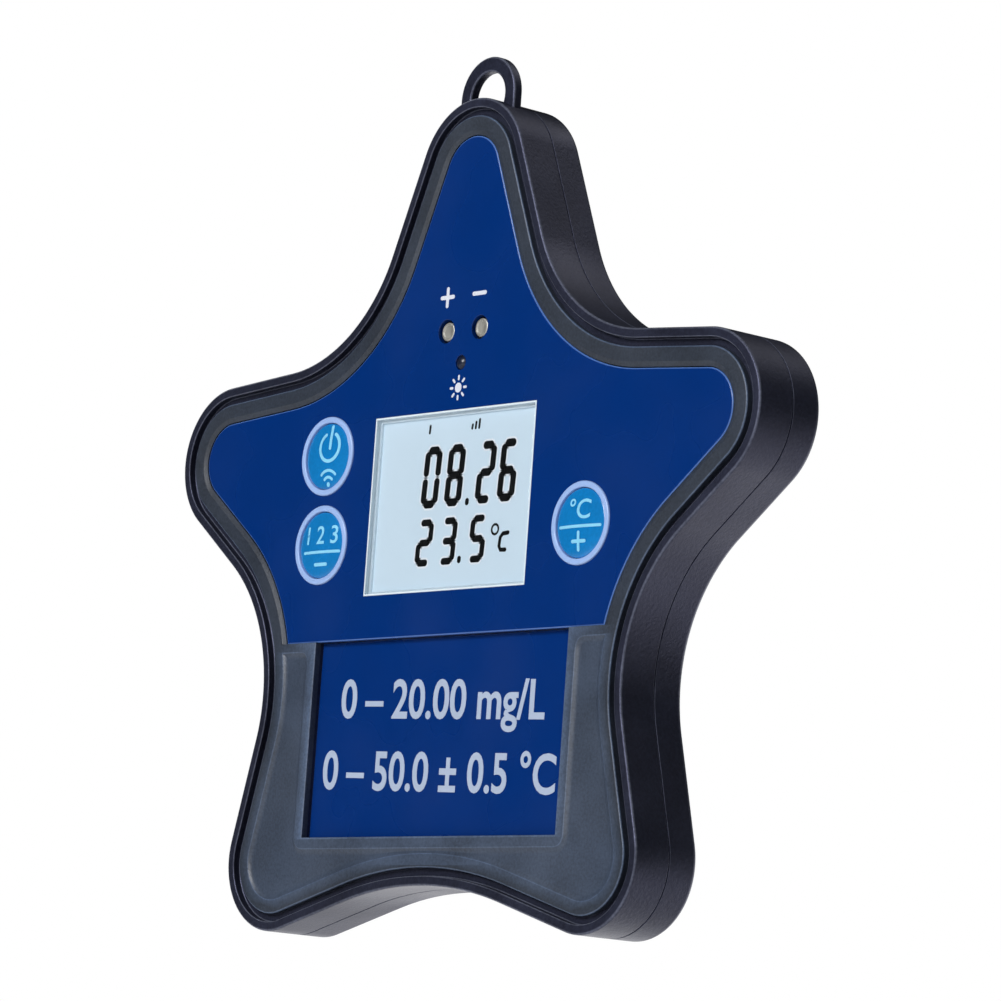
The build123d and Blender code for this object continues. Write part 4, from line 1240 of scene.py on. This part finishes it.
def build_key_marks(context):
    """Marks on the keys: on and off with signal bows, modes with minus, temperature with plus."""
    for name, (strokes, letters) in KEY_MARKS.items():
        surface = key_surface(name, context.scene.tester_keys)
        skin = Skin()
        for line, width, *rise in strokes:
            skin.ribbon(line, width, surface, *rise)
        if letters:
            skin.add(lettering(*letters, surface, weight=0.01))
        skin.finish(name + "_marks", "key_mark", name.replace("_key", "_button"))


def build_contacts(context):
    """Two charging contacts, each a disc in a raised rim on a pin."""
    keys = context.scene.tester_keys
    places, radius = contact_places()
    front, back = depths_of("charge_contacts")
    disc, slope = radius * 0.68, 0.12 * MM
    fine_edge, rim_edge = mm((0.05, 0.16))
    foot = front + keys.contact_head
    head = [
        (0, front + keys.contact_step),
        (disc, front + keys.contact_step, fine_edge),
        (disc + slope, front, fine_edge),
        (radius, front, rim_edge),
        (radius, foot),
        (keys.contact_pin, foot),
        (keys.contact_pin, back),
        (0, back),
    ]
    skin = Skin()
    for x, z in places:
        skin.spin(x, z, rounded(head), PIN_ROUND)
    skin.finish("contact_pins", "contact", "case", ("charge_contacts",), "contact_steel", sharp=40)


# CAD nodes that keep their own mesh

CAD_FINISHES = {
    "rubber": ("case_seal", "key_seals", "contact_strip", "sensor_seal"),
    "steel": ("case_screws", "board_screws", "radio_module"),
    "nylon": (
        "switch_housings",
        "controller_chip",
        "sensor_socket",
        "power_plunger",
        "mode_plunger",
        "temperature_plunger",
    ),
    "sensor": ("sensor_body", "sensor_nut", "membrane_cap", "sensor_guard"),
    "white_foam": ("display_gasket",),
    "black_foam": ("battery_pad",),
    "display": ("display_glass",),
    "light_guide": ("backlight", "indicator_chip"),
    "smoked": ("indicator_lens",),
    "board": ("circuit_board",),
    "pouch": ("battery",),
    "gold": ("cathode",),
    "silver": ("anode",),
    "film": ("membrane",),
    "contact": ("temperature_probe",),
}
# Roundings in millimetres of the nodes that show from outside
SOFT_EDGES = {"sensor_guard": 0.3, "membrane_cap": 0.15, "case_screws": 0.08}


def dress_cad(name, finish):
    """Gives a CAD node its finish, and a small rounding where its edges show."""
    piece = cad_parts[name]
    piece.data.materials.clear()
    piece.data.materials.append(FINISHES[finish])
    for polygon in piece.data.polygons:
        polygon.material_index = 0
    if name in SOFT_EDGES:
        weld = piece.modifiers.new("Joined faces", "WELD")
        weld.merge_threshold = 1e-6
        edge = piece.modifiers.new("Soft edges", "BEVEL")
        edge.width = SOFT_EDGES[name] * MM
        edge.segments = 3
        edge.limit_method = "ANGLE"
        edge.angle_limit = math.radians(40)
        keep_flat(piece)


# Stage

# Name, place, width and height, and power of each soft box
LIGHTS = (
    ("Key light", (0.1, -1.65, 0.7), (0.8, 0.7), 27.0),
    ("Left light", (-1.4, 0.4, 0.35), (0.6, 1.2), 4.0),
    ("Top rear light", (0.3, 0.8, 1.1), (0.9, 0.6), 2.6),
    ("Low light", (-0.05, 0.15, -0.28), (0.9, 0.6), 2.4),
)


def build_stage(context):
    """Camera, floor, background and soft lights."""
    scene, stage, colours = context.scene, context.scene.tester_stage, context.scene.tester_colours
    scene.view_settings.view_transform = "Standard"
    lens = bpy.data.cameras.new("Camera")
    camera = bpy.data.objects.new("Camera", lens)
    scene.collection.objects.link(camera)
    forward = Vector(stage.direction).normalized()
    right = forward.cross(Vector(stage.upward)).normalized()
    turned = Matrix((right, right.cross(forward), -forward)).transposed()
    camera.matrix_world = Matrix.Translation(stage.camera) @ turned.to_4x4()
    lens.sensor_width = 36
    lens.lens = stage.focal_length
    lens.clip_start, lens.clip_end = 0.01, 20
    scene.camera = camera
    build_floor(scene, stage, colours)
    light_world(scene, stage, colours)
    for light in LIGHTS:
        add_light(scene, middle("label_plate"), *light)


def build_floor(scene, stage, colours):
    """A wide pale floor, a little way below the tester."""
    mesh = bmesh.new()
    reach = stage.floor_reach
    corners = box_rail(-reach, -reach, reach, reach)
    mesh.faces.new([mesh.verts.new((*corner, stage.floor_z)) for corner in corners])
    data = bpy.data.meshes.new("floor")
    mesh.to_mesh(data)
    mesh.free()
    floor = bpy.data.objects.new("floor", data)
    scene.collection.objects.link(floor)
    data.materials.append(pale_board("Painted board, matt", colours.floor, stage.floor_glow))
    return floor


def light_world(scene, stage, colours):
    """White to the camera, and a faint plain light on the tester."""
    world = bpy.data.worlds.new("Studio")
    scene.world = world
    world.use_nodes = True
    tree = world.node_tree
    tree.nodes.clear()
    seen = node(tree, "ShaderNodeLightPath").outputs["Is Camera Ray"]
    grounds = []
    for tone, strength in ((colours.ambient, stage.ambient), (colours.backdrop, 1.0)):
        ground = node(tree, "ShaderNodeBackground", Color=opaque(tone), Strength=strength)
        grounds.append(ground.outputs["Background"])
    mix = node(tree, "ShaderNodeMixShader", {"Fac": seen, 1: grounds[0], 2: grounds[1]})
    node(tree, "ShaderNodeOutputWorld", {"Surface": mix.outputs["Shader"]})


def add_light(scene, target, name, place, area, power):
    """A rectangular soft box aimed at the tester."""
    lamp = bpy.data.lights.new(name, "AREA")
    lamp.shape = "RECTANGLE"
    lamp.size, lamp.size_y = area
    lamp.energy = power
    made = bpy.data.objects.new(name, lamp)
    scene.collection.objects.link(made)
    made.location = place
    made.rotation_euler = (target - Vector(place)).to_track_quat("-Z", "Y").to_euler()
    made.visible_camera = False


# Operators, one for each piece or group of like pieces


class TESTER_OT_finishes(Operator):
    """Make the plastics, metals and inks"""

    bl_idname = "tester.finishes"
    bl_label = "Finishes"

    def execute(self, context):
        make_finishes()
        return {"FINISHED"}


class TESTER_OT_case(Operator):
    """Build both halves of the case with the hanging loop"""

    bl_idname = "tester.case"
    bl_label = "Case"

    def execute(self, context):
        build_case_front(context)
        build_case_rear(context)
        return {"FINISHED"}


class TESTER_OT_bezel(Operator):
    """Build the bezel with its dish"""

    bl_idname = "tester.bezel"
    bl_label = "Bezel"

    def execute(self, context):
        build_bezel(context)
        return {"FINISHED"}


class TESTER_OT_panel(Operator):
    """Build the printed panel and the label"""

    bl_idname = "tester.panel"
    bl_label = "Panel and label"

    def execute(self, context):
        build_panel(context)
        build_label(context)
        return {"FINISHED"}


class TESTER_OT_keys(Operator):
    """Build the keys and their rings"""

    bl_idname = "tester.keys"
    bl_label = "Keys"

    def execute(self, context):
        build_keys(context)
        return {"FINISHED"}


class TESTER_OT_display(Operator):
    """Build the display's window and figures"""

    bl_idname = "tester.display"
    bl_label = "Display"

    def execute(self, context):
        build_window(context)
        build_figures()
        return {"FINISHED"}


class TESTER_OT_marks(Operator):
    """Print the marks on the panel, the label and the keys"""

    bl_idname = "tester.marks"
    bl_label = "Marks"

    def execute(self, context):
        build_panel_marks(context)
        build_label_figures()
        build_key_marks(context)
        return {"FINISHED"}


class TESTER_OT_contacts(Operator):
    """Build the charging contacts"""

    bl_idname = "tester.contacts"
    bl_label = "Contacts"

    def execute(self, context):
        build_contacts(context)
        return {"FINISHED"}


class TESTER_OT_frame_parts(Operator):
    """Finish the sensor, the fixings and the inner parts"""

    bl_idname = "tester.frame_parts"
    bl_label = "Sensor and inner parts"

    def execute(self, context):
        for finish, names in CAD_FINISHES.items():
            for name in names:
                dress_cad(name, finish)
        return {"FINISHED"}


class TESTER_OT_stage(Operator):
    """Set up the camera, the lights and the floor"""

    bl_idname = "tester.stage"
    bl_label = "Stage"

    def execute(self, context):
        build_stage(context)
        return {"FINISHED"}


class TESTER_PT_panel(Panel):
    """Lists the steps in the sidebar"""

    bl_idname = "TESTER_PT_panel"
    bl_label = "Floating water tester"
    bl_space_type = "VIEW_3D"
    bl_region_type = "UI"
    bl_category = "Tester"

    def draw(self, context):
        for step in STEPS:
            self.layout.operator(step.bl_idname)


STEPS = (
    TESTER_OT_finishes,
    TESTER_OT_case,
    TESTER_OT_bezel,
    TESTER_OT_panel,
    TESTER_OT_keys,
    TESTER_OT_display,
    TESTER_OT_marks,
    TESTER_OT_contacts,
    TESTER_OT_frame_parts,
    TESTER_OT_stage,
)
GROUPS = {
    "tester_outline": TesterOutline,
    "tester_case": TesterCase,
    "tester_face": TesterFace,
    "tester_keys": TesterKeys,
    "tester_colours": TesterColours,
    "tester_stage": TesterStage,
}
CLASSES = (*GROUPS.values(), *STEPS, TESTER_PT_panel)


def register():
    for made in CLASSES:
        bpy.utils.register_class(made)
    for name, group in GROUPS.items():
        setattr(bpy.types.Scene, name, PointerProperty(type=group))


def unregister():
    for name in GROUPS:
        delattr(bpy.types.Scene, name)
    for made in reversed(CLASSES):
        bpy.utils.unregister_class(made)


def main():
    register()
    for step in STEPS:
        group, name = step.bl_idname.split(".")
        getattr(getattr(bpy.ops, group), name)()
    bpy.context.view_layer.update()


if __name__ == "__main__":
    main()
